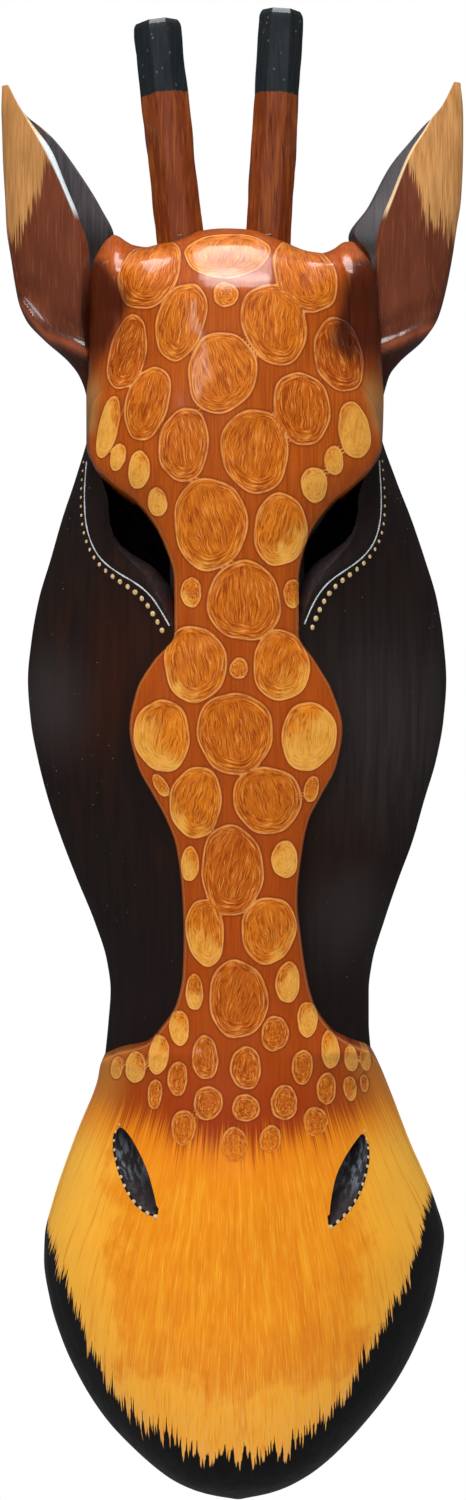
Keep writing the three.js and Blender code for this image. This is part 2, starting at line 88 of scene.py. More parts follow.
# ---------- carved depths: height, depth ----------
FACE_MIDDLE = [
    (0, 28), (8, 46), (20, 66), (40, 84), (80, 101), (137, 112), (217, 115), (270, 107),
    (308, 101), (350, 98), (420, 98), (527, 105), (584, 107), (633, 110), (700, 114), (740, 115),
    (800, 112), (824, 104), (838, 93), (850, 76), (857, 60),
]
FACE_SHOULDER = [
    (0, 20), (8, 23), (40, 25), (137, 28), (217, 29), (270, 33), (290, 42), (303, 58), (312, 78),
    (330, 84), (420, 90), (527, 95), (600, 99), (650, 95), (690, 84), (712, 76), (750, 82),
    (800, 88), (824, 84), (838, 74), (850, 60), (857, 50),
]
FACE_FLANK = [
    (0, 17), (40, 22), (217, 25), (270, 29), (290, 38), (303, 54), (312, 74), (330, 80),
    (420, 86), (527, 91), (600, 95), (650, 91), (690, 76), (712, 54), (750, 56), (785, 62), (800, 62),
    (820, 58), (835, 50), (857, 38),
]
CHEEK_MIDDLE = [(298, 84), (345, 86), (420, 86), (527, 100), (584, 95), (650, 95), (712, 80), (770, 60)]
HOLLOW_MIDDLE = [
    (62, 14), (80, 42), (110, 64), (190, 82), (270, 80), (420, 72), (520, 80), (600, 84), (700, 62),
]

# ---------- eyes, nostrils, paint borders: x, height ----------
LEFT_RIM = [
    (-100.5, 713), (-101.2, 705), (-101.8, 696), (-102.2, 683), (-101.6, 668), (-99.6, 656), (-95, 644),
    (-88.5, 635), (-78, 627), (-66, 620), (-56, 611.5), (-48.5, 600), (-43.5, 591), (-39, 583.5),
]
RIGHT_RIM = [
    (94.5, 713), (95.2, 705), (95.4, 696), (96, 683), (95.6, 668), (93.6, 656), (89.5, 646), (82, 637),
    (72, 629.5), (61, 622), (53, 613), (47.5, 603), (43, 592), (39.5, 582.5),
]
LEFT_EYE_BACK = [(-30, 588), (-30, 650), (-50, 676), (-76, 698), (-92, 717)]
RIGHT_EYE_BACK = [(30, 588), (30, 650), (48, 676), (74, 698), (88, 717)]
LEFT_NOSTRIL = [
    (-77.5, 261), (-81, 255), (-81, 245), (-78.4, 235), (-75, 227), (-71, 219.5), (-66, 213),
    (-59.5, 208.5), (-53, 206.5), (-52.3, 212), (-55, 224), (-58.5, 235), (-64.7, 247), (-71, 256),
]
RIGHT_NOSTRIL = [
    (83.7, 257), (86, 248), (86, 238.5), (84, 230), (81, 221.5), (77, 214.5), (71.5, 208),
    (65, 202), (60.5, 199.5), (59.8, 206), (61, 217), (64, 231), (70, 242), (78, 252),
]
LIP_BORDER = [
    (-129, 186), (-122, 166), (-113, 148), (-98, 110), (-86, 88), (-73, 73), (-56, 58), (-35, 47),
    (-12, 42), (9, 42), (30, 46), (49, 57), (66, 76), (84, 105), (97, 126), (110, 150), (120, 175),
    (127, 198), (132, 208),
]
TEMPLE = [  # dark stain and painted shade beside the ears: height, where it starts left and right
    (745, 99, 97), (763, 88, 74), (775, 82, 60), (786, 77, 62), (800, 70, 66.5), (815, 76, 69),
    (826, 83, 72), (836, 88, 78),
]

# ---------- painted spots: x, height, half width, half height, lean, tone, paleness ----------
SPOTS = [
    (-6.5, 833, 28, 17.5, 0, 0.75, 0.35), (-7.5, 804, 8, 8.5, 0, 0.8, 0.3),
    (-57, 823, 20, 27.5, 22, 0.45, 0.1), (44, 820.5, 20, 28.5, -24, 0.5, 0.1),
    (-36.5, 787, 15.5, 26.5, 18, 0.55, 0.1), (24, 785, 21.5, 26.5, -14, 0.55, 0.05),
    (-10, 753, 22.5, 26.5, 0, 0.62, 0.15), (-72, 768.5, 12.5, 25.5, 13, 0.2, 0),
    (66.5, 767, 17, 24, -8, 0.12, 0), (-58.5, 734.5, 14.5, 24.5, 12, 0.45, 0.25),
    (42, 730.5, 18, 24.5, -8, 0.3, 0), (-84.5, 720.5, 7, 20, 14, 0.7, 0.8),
    (76.5, 718, 10.8, 18.5, -12, 0.7, 0.85), (-34.5, 706.5, 16, 24.5, 8, 0.4, 0.2),
    (11.5, 702.5, 22.5, 26.5, -4, 0.5, 0.1), (-78, 700.5, 5.2, 9, 10, 0.9, 0.9),
    (-64, 691.5, 7, 12.5, 6, 0.9, 0.85), (-52, 670.5, 6.5, 9, -6, 0.9, 0.85),
    (63, 697.5, 6.3, 9.5, -8, 0.9, 0.85), (50, 681.5, 8.5, 11.5, 0, 0.9, 0.9),
    (-17.5, 655.5, 24.5, 29, 0, 0.6, 0.35), (28, 652, 17.5, 23.5, 0, 0.75, 0.55),
    (4.5, 605.5, 23.5, 26.5, 4, 0.45, 0.1), (-30, 611.5, 7, 9.5, 0, 0.8, 0.5),
    (36, 611, 6, 9.5, 0, 0.8, 0.5), (-27.5, 565, 20, 25.5, 0, 0.6, 0.4),
    (28.5, 564, 19, 22.5, 0, 0.65, 0.5), (1, 562, 6, 7, 0, 0.7, 0.3), (-49, 518.5, 18, 24, 0, 0.9, 0.62),
    (-1.5, 520, 25.5, 26, 0, 0.5, 0.1), (46.5, 518, 18, 22.5, 0, 1, 0.78),
    (-50, 486, 4, 8.5, -30, 0.7, 0.5), (48.5, 483.5, 5, 8.5, 12, 0.8, 0.5),
    (-27, 475, 17, 23.5, 0, 0.75, 0.45), (19.5, 476.5, 22, 22.5, 0, 0.5, 0.3),
    (-3.5, 430.5, 21, 29, 0, 0.3, 0), (-31, 434.5, 6, 11.5, 0, 0.9, 0.75),
    (31, 437.5, 8.5, 12.5, 0, 0.95, 0.85), (-21, 390, 13, 21.5, -4, 0.8, 0.6),
    (20.5, 391.5, 18, 22, 0, 0.65, 0.45), (0.5, 346.5, 19, 26, 0, 0.3, 0),
    (-28, 350.5, 6, 11.5, 0, 0.7, 0.6), (33, 357, 8, 13.5, 0, 0.8, 0.72),
    (-38, 327, 6.5, 11.5, 0, 0.95, 0.82), (46, 332.5, 7, 11, 0, 0.9, 0.8), (24.5, 324, 9, 11.5, 0, 0.35, 0),
    (-21, 308.5, 8.5, 14.5, 0, 0.3, 0), (5.5, 302, 10.5, 13.5, 0, 0.3, 0),
    (42.5, 302, 7, 11.5, 0, 0.45, 0.1), (-51.5, 309, 6.5, 13, 10, 0.9, 0.8),
    (-67, 300, 7, 10.5, 8, 0.85, 0.75), (-80, 298, 4, 8.5, 10, 0.85, 0.75),
    (-39, 294.5, 6.5, 11.5, 6, 0.45, 0.1), (-54, 283.5, 5, 9.5, 6, 0.6, 0.3),
    (-19, 279.5, 9.5, 11, 0, 0.35, 0), (5.5, 276.5, 9, 9, 0, 0.35, 0), (30.5, 279.5, 9, 11, 0, 0.35, 0),
    (58.5, 287, 6.5, 10.5, -4, 0.5, 0.3), (74.5, 285.5, 4.5, 8.5, -8, 0.7, 0.5),
    (84.5, 287.5, 3, 6, -8, 0.7, 0.5), (61, 312, 6, 12.5, -8, 0.9, 0.8),
    (75, 305.5, 4.5, 9.5, -8, 0.9, 0.8), (85, 304, 4, 8.5, -10, 0.85, 0.75),
    (-35, 263.5, 8, 11.5, 0, 0.45, 0.1), (51, 266.5, 8, 9.5, 0, 0.45, 0.1), (-2, 253, 9, 11, 0, 0.4, 0),
    (21.5, 256.5, 7, 9, 0, 0.4, 0),
]

# ---------- ears: height, fold x, front edge x, rear edge x, rear depth, front depth ----------
LEFT_EAR = [
    (738, 98.5, 94, 90, 30, 44), (746, 101.3, 96, 90, 28, 49), (752.6, 103, 97, 90, 26, 53),
    (762, 107, 98, 90, 22, 59), (771, 114, 100, 90, 20, 66), (785, 130, 102, 90, 17, 72),
    (798, 142, 103, 90, 16, 75), (812, 147.5, 102.5, 90, 16, 76), (839, 152, 103.5, 90, 16, 77),
    (859, 155, 107, 84, 17, 76), (879, 156, 114.5, 93, 20, 73), (906, 157.5, 127, 110.5, 26, 67),
    (922, 158, 136, 123, 30, 62), (931, 158.3, 141, 133, 33, 59), (938, 158.5, 145, 143, 36, 57),
    (955, 158, 153.5, 153.5, 44, 51),
]
RIGHT_EAR = [
    (738, 95, 90, 86, 30, 44), (746, 98.2, 91, 86, 28, 49), (752.6, 100, 92, 86, 26, 53),
    (762, 103, 92, 86, 22, 59), (771, 110, 92, 86, 20, 66), (785, 125.5, 92, 86, 17, 72),
    (798, 134.5, 92.5, 86, 16, 75), (812, 139, 92.7, 86, 16, 76), (839, 144.5, 94, 84, 16, 77),
    (859, 147.5, 98, 76, 17, 76), (879, 150.5, 105, 89, 20, 73), (906, 151.8, 116, 104, 26, 67),
    (922, 152, 125.5, 117.5, 30, 62), (932, 152, 131, 126.5, 33, 59), (939, 151.8, 136.5, 135.5, 36, 57),
    (957, 150, 145.5, 145.5, 44, 51),
]
LEFT_EAR_LIP = [(-146, 808), (-136, 794), (-128, 785), (-117, 780), (-110, 777), (-100, 772)]
RIGHT_EAR_LIP = [(136, 794), (119, 785), (110, 780.5), (101, 777), (91, 773)]
LEFT_PALE_TIP = [(-160, 852), (-150, 850), (-143, 860), (-135, 872), (-128, 896), (-110, 930)]
RIGHT_PALE_TIP = [(110, 905), (119, 886), (125, 862), (131, 856), (143, 853), (160, 851)]
EAR_SEATS = {-1: 94, 1: 90}  # where each ear meets the side of the head

HORNS = {
    "left": {"foot": (-37.4, 846.5, 46), "tip": (-53.9, 997, 46), "width": (31, 32), "paint": 948},
    "right": {"foot": (20.4, 846.5, 46), "tip": (29.8, 1004.5, 46), "width": (30.5, 29.5), "paint": 948},
}


# ---------- helpers ----------
def smooth_curve(pairs):
    """A function through every (place, value) pair that never overshoots between them."""
    places, values = np.array(pairs, float).T
    slopes = np.diff(values) / np.diff(places)
    tangents = np.empty(len(places))
    tangents[0], tangents[-1] = slopes[0], slopes[-1]
    before, after = slopes[:-1], slopes[1:]
    same_way = before * after > 0
    total = np.where(same_way, before + after, 1)
    tangents[1:-1] = np.where(same_way, 2 * before * after / total, 0)

    def value(at):
        i = np.clip(np.searchsorted(places, at, side="right") - 1, 0, len(slopes) - 1)
        span = places[i + 1] - places[i]
        t = np.clip((at - places[i]) / span, 0, 1)
        rise = t * t * (3 - 2 * t)
        start = values[i] * (1 - rise) + tangents[i] * span * t * (1 - t) ** 2
        finish = values[i + 1] * rise - tangents[i + 1] * span * t * t * (1 - t)
        return start + finish

    return value


def column(rows, index):
    return smooth_curve([(row[0], row[index]) for row in rows])


def smooth_step(value, low, high):
    t = np.clip((value - low) / (high - low), 0, 1)
    return t * t * (3 - 2 * t)


def to_row(points):
    """(x, height, depth) in millimetres to the row frame in metres."""
    points = np.asarray(points, float)
    placed = np.empty(points.shape)
    placed[..., 0] = points[..., 0] * MM
    placed[..., 1] = -points[..., 2] * MM
    placed[..., 2] = CHIN + points[..., 1] * MM
    return placed


def from_row(places):
    """The row frame in metres to (x, height, depth) in millimetres."""
    return places[:, 0] / MM, (places[:, 2] - CHIN) / MM, -places[:, 1] / MM


def vertex_places(piece):
    places = np.empty(len(piece.data.vertices) * 3)
    piece.data.vertices.foreach_get("co", places)
    return places.reshape(-1, 3)


def face_centres(piece):
    centres = np.empty(len(piece.data.polygons) * 3)
    piece.data.polygons.foreach_get("center", centres)
    return centres.reshape(-1, 3)


def distance_to_line(x, height, line):
    """Distance in the front view from each point to an open line of (x, height) points."""
    nearest = np.full(np.shape(x), 1e9)
    for (ax, ah), (bx, bh) in zip(line[:-1], line[1:]):
        run, climb = bx - ax, bh - ah
        t = np.clip(((x - ax) * run + (height - ah) * climb) / (run * run + climb * climb), 0, 1)
        nearest = np.minimum(nearest, np.hypot(x - ax - t * run, height - ah - t * climb))
    return nearest


def distance_above(x, height, line):
    """How far above an open line each point is, negative below it."""
    points = np.array(sorted(line), float)
    border = np.interp(x, points[:, 0], points[:, 1])
    return height - border


def ripple(x, height, size, seed):
    """Slow, smooth unevenness of about +-1, like a hand-planed surface."""
    a = np.sin(x / size * 1.9 + seed) * np.cos(height / size * 1.1 + seed * 1.7)
    b = np.sin(x / size * 0.8 - height / size * 1.6 + seed * 2.3)
    c = np.cos(x / size * 2.7 + height / size * 0.6 + seed * 0.9)
    return (a + b + 0.6 * c) / 2.2


def deselect():
    bpy.ops.object.select_all(action="DESELECT")


def select_only(piece):
    deselect()
    piece.select_set(True)
    bpy.context.view_layer.objects.active = piece


def edit_all(piece, *steps):
    """Runs edit-mode steps on the whole of one mesh."""
    select_only(piece)
    bpy.ops.object.mode_set(mode="EDIT")
    bpy.ops.mesh.select_all(action="SELECT")
    for step in steps:
        step()
    bpy.ops.object.mode_set(mode="OBJECT")


def merge_doubles():
    bpy.ops.mesh.remove_doubles(threshold=1e-6)


def face_outwards():
    bpy.ops.mesh.normals_make_consistent(inside=False)


def skin(name, rings, finishes, finish=0):
    """A closed solid shaped from a grid: rings of points in millimetres, one above the other."""
    rows, columns = rings.shape[:2]
    deselect()
    bpy.ops.mesh.primitive_grid_add(x_subdivisions=columns, y_subdivisions=rows - 1)
    piece = bpy.context.object
    piece.name = name
    wrapped = np.concatenate([rings, rings[:, :1]], axis=1)
    piece.data.vertices.foreach_set("co", to_row(wrapped).ravel())
    piece.location = (0, 0, 0)
    for material in finishes:
        piece.data.materials.append(material)
    piece.data.polygons.foreach_set("material_index", np.full(len(piece.data.polygons), finish, np.int32))
    edit_all(piece, merge_doubles, face_outwards)
    return piece


def capped(rings, shares=(0.97, 0.9, 0.75, 0.5, 0.25, 0)):
    """Closes both ends of a stack of rings by drawing the last ring in to its middle."""
    def cap(ring):
        middle = ring.mean(axis=0)
        return [middle + (ring - middle) * share for share in shares]
    below = cap(rings[0])[::-1]
    above = cap(rings[-1])
    return np.array([*below, *rings, *above])


def combine(piece, tool, operation="DIFFERENCE"):
    modifier = piece.modifiers.new("join", "BOOLEAN")
    modifier.operation = operation
    modifier.object = tool
    modifier.solver = "MANIFOLD"
    select_only(piece)
    bpy.ops.object.modifier_apply(modifier=modifier.name)
    bpy.data.objects.remove(tool)
    return piece


def paint_value(piece, name, *values):
    """Stores one value or three on every vertex, for the paint to read."""
    if len(values) == 1:
        attribute = piece.data.attributes.new(name, "FLOAT", "POINT")
        attribute.data.foreach_set("value", np.asarray(values[0], np.float32))
        return
    attribute = piece.data.attributes.new(name, "FLOAT_VECTOR", "POINT")
    attribute.data.foreach_set("vector", np.stack(values, axis=1).astype(np.float32).ravel())


def smooth_shading(piece, angle):
    select_only(piece)
    bpy.ops.object.shade_smooth_by_angle(angle=math.radians(angle))


def belongs(piece, body, slot, *nodes):
    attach(piece, body)
    if nodes:
        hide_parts(*nodes)


# ---------- paint and finish ----------
class Finish:
    """A material's nodes, made step by step. Lengths are in millimetres."""

    def __init__(self, name, roughness=0.4, coat=0.0, coat_roughness=0.1, metallic=0.0, specular=0.5):
        self.material = bpy.data.materials.new(name)
        self.material.use_nodes = True
        self.tree = self.material.node_tree
        self.shader = self.tree.nodes["Principled BSDF"]
        self.shader.inputs["Roughness"].default_value = roughness
        self.shader.inputs["Metallic"].default_value = metallic
        self.shader.inputs["Specular IOR Level"].default_value = specular
        self.shader.inputs["Coat Weight"].default_value = coat
        self.shader.inputs["Coat Roughness"].default_value = coat_roughness
        place = self.tree.nodes.new("ShaderNodeTexCoord").outputs["Object"]
        self.place = self.stretch(place, (1 / MM, 1 / MM, 1 / MM))

    def put(self, value, socket):
        if isinstance(value, bpy.types.NodeSocket):
            self.tree.links.new(value, socket)
        elif isinstance(value, (tuple, list)) and len(value) == 3 and socket.type == "RGBA":
            socket.default_value = (*value, 1)
        else:
            socket.default_value = value

    def stretch(self, vector, factors):
        node = self.tree.nodes.new("ShaderNodeVectorMath")
        node.operation = "MULTIPLY"
        self.put(vector, node.inputs[0])
        self.put(factors, node.inputs[1])
        return node.outputs[0]

    def shift(self, vector, by):
        node = self.tree.nodes.new("ShaderNodeVectorMath")
        node.operation = "ADD"
        self.put(vector, node.inputs[0])
        self.put(by, node.inputs[1])
        return node.outputs[0]

    def math(self, operation, first, second=0.0):
        node = self.tree.nodes.new("ShaderNodeMath")
        node.operation = operation
        self.put(first, node.inputs[0])
        self.put(second, node.inputs[1])
        return node.outputs[0]

    def times(self, first, second):
        return self.math("MULTIPLY", first, second)

    def plus(self, first, second):
        return self.math("ADD", first, second)

    def minus(self, first, second):
        return self.math("SUBTRACT", first, second)

    def over(self, first, second):
        return self.math("DIVIDE", first, second)

    def larger(self, first, second):
        return self.math("MAXIMUM", first, second)

    def smaller(self, first, second):
        return self.math("MINIMUM", first, second)

    def swing(self, value, amount):
        """A 0 to 1 value as an offset, half the amount either side of nought."""
        return self.times(self.minus(value, 0.5), amount)

    def mix(self, share, first, second, blend="MIX"):
        node = self.tree.nodes.new("ShaderNodeMix")
        node.data_type = "RGBA"
        node.blend_type = blend
        self.put(share, node.inputs["Factor"])
        self.put(first, node.inputs[6])
        self.put(second, node.inputs[7])
        return node.outputs[2]

    def ramp(self, value, low, high, start=0.0, end=1.0):
        node = self.tree.nodes.new("ShaderNodeMapRange")
        node.interpolation_type = "SMOOTHSTEP"
        self.put(value, node.inputs["Value"])
        node.inputs["From Min"].default_value = low
        node.inputs["From Max"].default_value = high
        node.inputs["To Min"].default_value = start
        node.inputs["To Max"].default_value = end
        return node.outputs[0]

    def noise(self, size, detail=2.0, vector=None, seed=0.0):
        """Noise whose features are about this many millimetres along x, y and z."""
        spread = self.stretch(vector or self.place, tuple(1 / s for s in size))
        if seed:
            spread = self.shift(spread, (seed, seed * 1.7, seed * 0.6))
        node = self.tree.nodes.new("ShaderNodeTexNoise")
        self.put(spread, node.inputs["Vector"])
        node.inputs["Scale"].default_value = 1
        node.inputs["Detail"].default_value = detail
        node.inputs["Roughness"].default_value = 0.55
        return node.outputs["Fac"]

    def cells(self, size, seed):
        """Distance from scattered points about this many millimetres apart along x, y and z."""
        spread = self.stretch(self.place, tuple(1 / s for s in size))
        spread = self.shift(spread, (seed, seed * 0.3, seed * 2.1))
        node = self.tree.nodes.new("ShaderNodeTexVoronoi")
        self.put(spread, node.inputs["Vector"])
        node.inputs["Scale"].default_value = 1
        return node.outputs["Distance"]

    def stored(self, name):
        node = self.tree.nodes.new("ShaderNodeAttribute")
        node.attribute_name = name
        return node

    def stored_three(self, name):
        split = self.tree.nodes.new("ShaderNodeSeparateXYZ")
        self.put(self.stored(name).outputs["Vector"], split.inputs[0])
        return split.outputs

    def axes(self):
        split = self.tree.nodes.new("ShaderNodeSeparateXYZ")
        self.put(self.place, split.inputs[0])
        return split.outputs

    def height(self):
        """Height above the chin."""
        return self.minus(self.axes()[2], CHIN / MM)

    def vector(self, x, y, z):
        node = self.tree.nodes.new("ShaderNodeCombineXYZ")
        self.put(x, node.inputs[0])
        self.put(y, node.inputs[1])
        self.put(z, node.inputs[2])
        return node.outputs[0]

    def spikes(self, along, length, taper, seed=0.0):
        """Pointed brush hairs of uneven length, in millimetres either side of nought."""
        node = self.tree.nodes.new("ShaderNodeTexVoronoi")
        node.voronoi_dimensions = "1D"
        self.put(self.plus(along, seed), node.inputs["W"])
        node.inputs["Scale"].default_value = 1
        reach = self.times(self.minus(node.outputs["Color"], 0.5), length * 2)
        narrowing = self.times(self.minus(node.outputs["Distance"], 0.25), taper)
        return self.minus(reach, narrowing)

    def line(self, distance, centre, half_width, soft):
        """1 on a thin line at this distance, 0 away from it."""
        away = self.math("ABSOLUTE", self.minus(distance, centre))
        return self.ramp(away, half_width - soft / 2, half_width + soft, 1.0, 0.0)

    def near(self, point, reach):
        """1 close to a point (x, height, depth), fading to 0 at the reach."""
        centre = to_row(np.array(point)) / MM
        node = self.tree.nodes.new("ShaderNodeVectorMath")
        node.operation = "DISTANCE"
        self.put(self.place, node.inputs[0])
        self.put(tuple(centre), node.inputs[1])
        return self.ramp(node.outputs["Value"], 0, reach, 1.0, 0.0)

    def colour(self, value):
        self.put(value, self.shader.inputs["Base Color"])

    def rough(self, value):
        self.put(value, self.shader.inputs["Roughness"])

    def bump(self, height, depth):
        """Raised where height is 1, by this many millimetres."""
        node = self.tree.nodes.new("ShaderNodeBump")
        node.inputs["Strength"].default_value = 1
        node.inputs["Distance"].default_value = depth * MM
        self.put(height, node.inputs["Height"])
        self.put(node.outputs[0], self.shader.inputs["Normal"])


def face_paint():
    """Stained brown with scratched spots, a brushed yellow muzzle and a black lip."""
    f = Finish("face_paint", roughness=0.42, coat=0.6, coat_roughness=0.12, specular=0.15)
    away, tone, pale = f.stored_three("spot")
    u, v, seed = f.stored_three("spot_at")
    hatch_x, hatch_z, side_on = f.stored_three("hatch")
    to_muzzle, to_lip, to_edge = f.stored_three("borders")
    fan, to_hole, shade = f.stored_three("brushing_and_shade")
    x, _, z = f.axes()
    height = f.minus(z, CHIN / MM)
    share = f.stored("share").outputs["Fac"]
    brushed = f.vector(fan, 0, z)

    grain = f.noise((1.1, 6, 34), 3)
    broad = f.noise((16, 30, 60), 2, seed=4)
    hairs = f.noise((0.75, 3, 16), 2, vector=brushed, seed=9)

    # stain between the spots
    stain = f.mix(broad, (0.27, 0.036, 0.0005), (0.43, 0.082, 0.002))
    stain = f.mix(f.times(f.ramp(grain, 0.42, 0.7), 0.6), stain, (0.48, 0.105, 0.004))
    stain = f.mix(f.times(f.ramp(grain, 0.42, 0.25), 0.5), stain, (0.20, 0.022, 0.0005))
    stain = f.mix(f.ramp(height, 330, 720, 0.55, 0.0), stain, (0.34, 0.044, 0.0005))
    flare = f.times(f.ramp(share, 0.7, 1.0), f.ramp(height, 316, 300))
    stain = f.mix(f.times(flare, 0.7), stain, (0.66, 0.24, 0.025))
    rubbed = f.times(f.ramp(height, 712, 724), f.ramp(height, 766, 742))
    rubbed = f.times(rubbed, f.ramp(share, 0.9, 1.0))
    stain = f.mix(f.times(rubbed, 0.8), stain, (0.42, 0.20, 0.05))
    deep = f.times(f.ramp(height, 250, 330, 1.0, 0.0), f.ramp(share, 0.3, 0.9, 1.0, 0.0))
    stain = f.mix(f.times(deep, 0.75), stain, (0.30, 0.026, 0.0015))

    # spots: short scratches down the middle, others that follow the outline, and the outline itself
    size = f.math("SQRT", f.plus(f.times(u, u), f.times(v, v)))
    size = f.larger(size, 0.05)
    around = f.vector(away, f.times(f.over(u, size), 20), f.times(f.over(v, size), 20))
    around = f.shift(around, f.vector(seed, seed, seed))
    rings = f.noise((0.9, 9, 9), 2, vector=around)
    hatched = f.vector(hatch_x, f.times(seed, 3), hatch_z)
    bend = f.times(f.noise((6, 6, 9), 2, seed=61), 5)
    hatched = f.shift(hatched, f.vector(bend, 0, 0))
    hatch = f.noise((0.75, 5, 12), 3, vector=hatched, seed=3)
    near_edge = f.ramp(f.minus(away, f.times(v, 4)), -11, -6)
    scratches = f.mix(near_edge, hatch, rings)
    patch = f.noise((9, 9, 14), 2, seed=17)
    fill = f.mix(tone, (0.40, 0.062, 0.0005), (0.70, 0.20, 0.005))
    fill = f.mix(f.ramp(patch, 0.4, 0.65, 0.0, 0.6), fill, (0.42, 0.080, 0.001))
    creep = f.plus(f.times(pale, 2.4), f.minus(side_on, 1.55))
    creep = f.plus(creep, f.swing(patch, 1.2))
    faded = f.ramp(creep, -0.25, 0.35)
    light_fill = f.mix(patch, (0.66, 0.25, 0.012), (0.86, 0.43, 0.08))
    fill = f.mix(faded, fill, light_fill)
    dark_strokes = f.times(f.ramp(scratches, 0.49, 0.40), f.ramp(faded, 0, 1, 0.85, 0.4))
    fill = f.mix(dark_strokes, fill, f.mix(1.0, fill, (0.50, 0.34, 0.25), "MULTIPLY"))
    fill = f.mix(f.ramp(scratches, 0.54, 0.68, 0.0, 0.55), fill, (0.84, 0.38, 0.075))
    inside = f.ramp(away, -0.3, 0.3, 1.0, 0.0)
    trench = f.times(f.ramp(away, 0.1, 1.8, 1.0, 0.0), f.minus(1.0, inside))
    stain = f.mix(f.times(trench, 0.6), stain, (0.15, 0.018, 0.002))
    brown = f.mix(inside, stain, fill)
    wander = f.swing(f.noise((8, 8, 8), 2, seed=2), 3.0)
    press = f.ramp(f.noise((5, 5, 8), 2, seed=6), 0.35, 0.6, 0.45, 1.0)
    outline = f.times(f.line(away, -0.75, 0.32, 0.55), press)
    inner_line = f.line(f.plus(away, wander), -3.2, 0.2, 0.5)
    inner_line = f.times(inner_line, f.ramp(f.noise((7, 7, 7), 1, seed=12), 0.5, 0.58))
    lines = f.larger(outline, f.times(inner_line, 0.6))
    # painted highlight along the lit edge where the band stands proud of the cheeks
    rim_light = f.times(f.line(to_edge, 0.3, 0.3, 0.5), f.ramp(height, 640, 715, 1.0, 0.0))
    lines = f.larger(lines, f.times(rim_light, 0.5))
    lines = f.times(lines, f.ramp(to_muzzle, -20, -2))
    brown = f.mix(f.times(lines, 0.7), brown, (0.82, 0.37, 0.11))
    # darker beside the ears: part dark stain, part painted shade where the temples turn from the light
    brown = f.mix(shade, brown, f.mix(1.0, brown, (0.20, 0.16, 0.5), "MULTIPLY"))

    # yellow muzzle: an orange glaze in the middle, paler and scratchier towards its edges
    drift = f.swing(f.noise((20, 20, 26), 4, seed=41), 60)
    aside = f.minus(80, f.math("ABSOLUTE", x))
    glazed = f.smaller(aside, f.minus(height, 96))
    glazed = f.ramp(f.plus(glazed, drift), -8, 8)
    glazed = f.times(glazed, f.ramp(patch, 0.25, 0.6, 0.75, 1.0))
    light = f.mix(broad, (0.90, 0.33, 0.006), (1.0, 0.44, 0.03))
    light = f.mix(f.ramp(share, 0.5, 1.0), light, (1.0, 0.50, 0.05))
    glaze = f.mix(broad, (0.74, 0.185, 0.0005), (0.92, 0.275, 0.001))
    yellow = f.mix(f.times(glazed, 0.85), light, glaze)
    sweep = f.noise((5, 9, 60), 3, vector=brushed, seed=71)
    yellow = f.mix(f.ramp(sweep, 0.52, 0.72, 0.0, 0.4), yellow, (1.0, 0.48, 0.02))
    yellow = f.mix(f.ramp(sweep, 0.46, 0.3, 0.0, 0.5), yellow, (0.74, 0.195, 0.001))
    yellow = f.mix(f.ramp(hairs, 0.5, 0.75, 0.0, 0.6), yellow, (0.99, 0.52, 0.05))
    yellow = f.mix(f.ramp(hairs, 0.45, 0.22, 0.0, 0.5), yellow, (0.66, 0.18, 0.001))
    low = f.ramp(height, 55, 120, 0.7, 0.0)
    yellow = f.mix(f.times(low, f.ramp(hairs, 0.4, 0.6)), yellow, (0.88, 0.42, 0.07))

    coarse = f.spikes(f.over(fan, 7), 5, 8)
    fine = f.spikes(f.over(fan, 1.9), 8, 10, seed=7.3)
    strokes = f.plus(coarse, fine)
    soft = f.swing(f.noise((0.8, 20, 30), 2, vector=brushed, seed=25), 34)
    brushed_to = f.plus(to_muzzle, f.plus(strokes, soft))
    amber = f.ramp(brushed_to, -36, 2, 0.0, 0.8)
    yellow = f.mix(amber, yellow, (0.76, 0.205, 0.003))
    last_spots = f.times(inside, f.ramp(to_muzzle, -30, -12, 0.0, 0.6))
    last_fill = f.mix(f.ramp(scratches, 0.42, 0.55), (0.40, 0.075, 0.002), (0.70, 0.19, 0.004))
    yellow = f.mix(last_spots, yellow, last_fill)
    bare = f.ramp(brushed_to, -8, 16)
    paint = f.mix(bare, yellow, brown)

    # black lip, with hairs of yellow brushed down over it
    lip_fine = f.spikes(f.over(fan, 2.3), 8, 14, seed=3.1)
    lip_coarse = f.spikes(f.over(fan, 8), 6, 8, seed=5.5)
    lip_hairs = f.spikes(f.over(fan, 1.1), 4, 6, seed=8.2)
    lip_strokes = f.plus(lip_hairs, f.plus(lip_fine, lip_coarse))
    reach = f.plus(to_lip, lip_strokes)
    black = f.ramp(reach, -1.0, 1.0, 1.0, 0.0)
    tips = f.times(f.ramp(to_lip, -14, 16, 1.0, 0.0), 0.6)
    paint = f.mix(tips, paint, (0.85, 0.40, 0.11))
    rimmed = f.ramp(f.plus(to_hole, f.times(hairs, 0.8)), 1.5, 1.9, 1.0, 0.0)
    black = f.larger(black, rimmed)
    paint = f.mix(black, paint, f.mix(hairs, (0.0015, 0.0015, 0.0018), (0.010, 0.010, 0.012)))
    f.colour(paint)

    worn = f.noise((9, 9, 20), 3, seed=50)
    f.rough(f.ramp(worn, 0.3, 0.7, 0.3, 0.5))
    relief = f.plus(f.times(grain, 0.3), f.times(hairs, 0.25))
    relief = f.minus(relief, f.times(lines, 0.5))
    relief = f.plus(relief, f.times(f.times(scratches, inside), 0.5))
    f.bump(relief, 0.35)
    return f.material


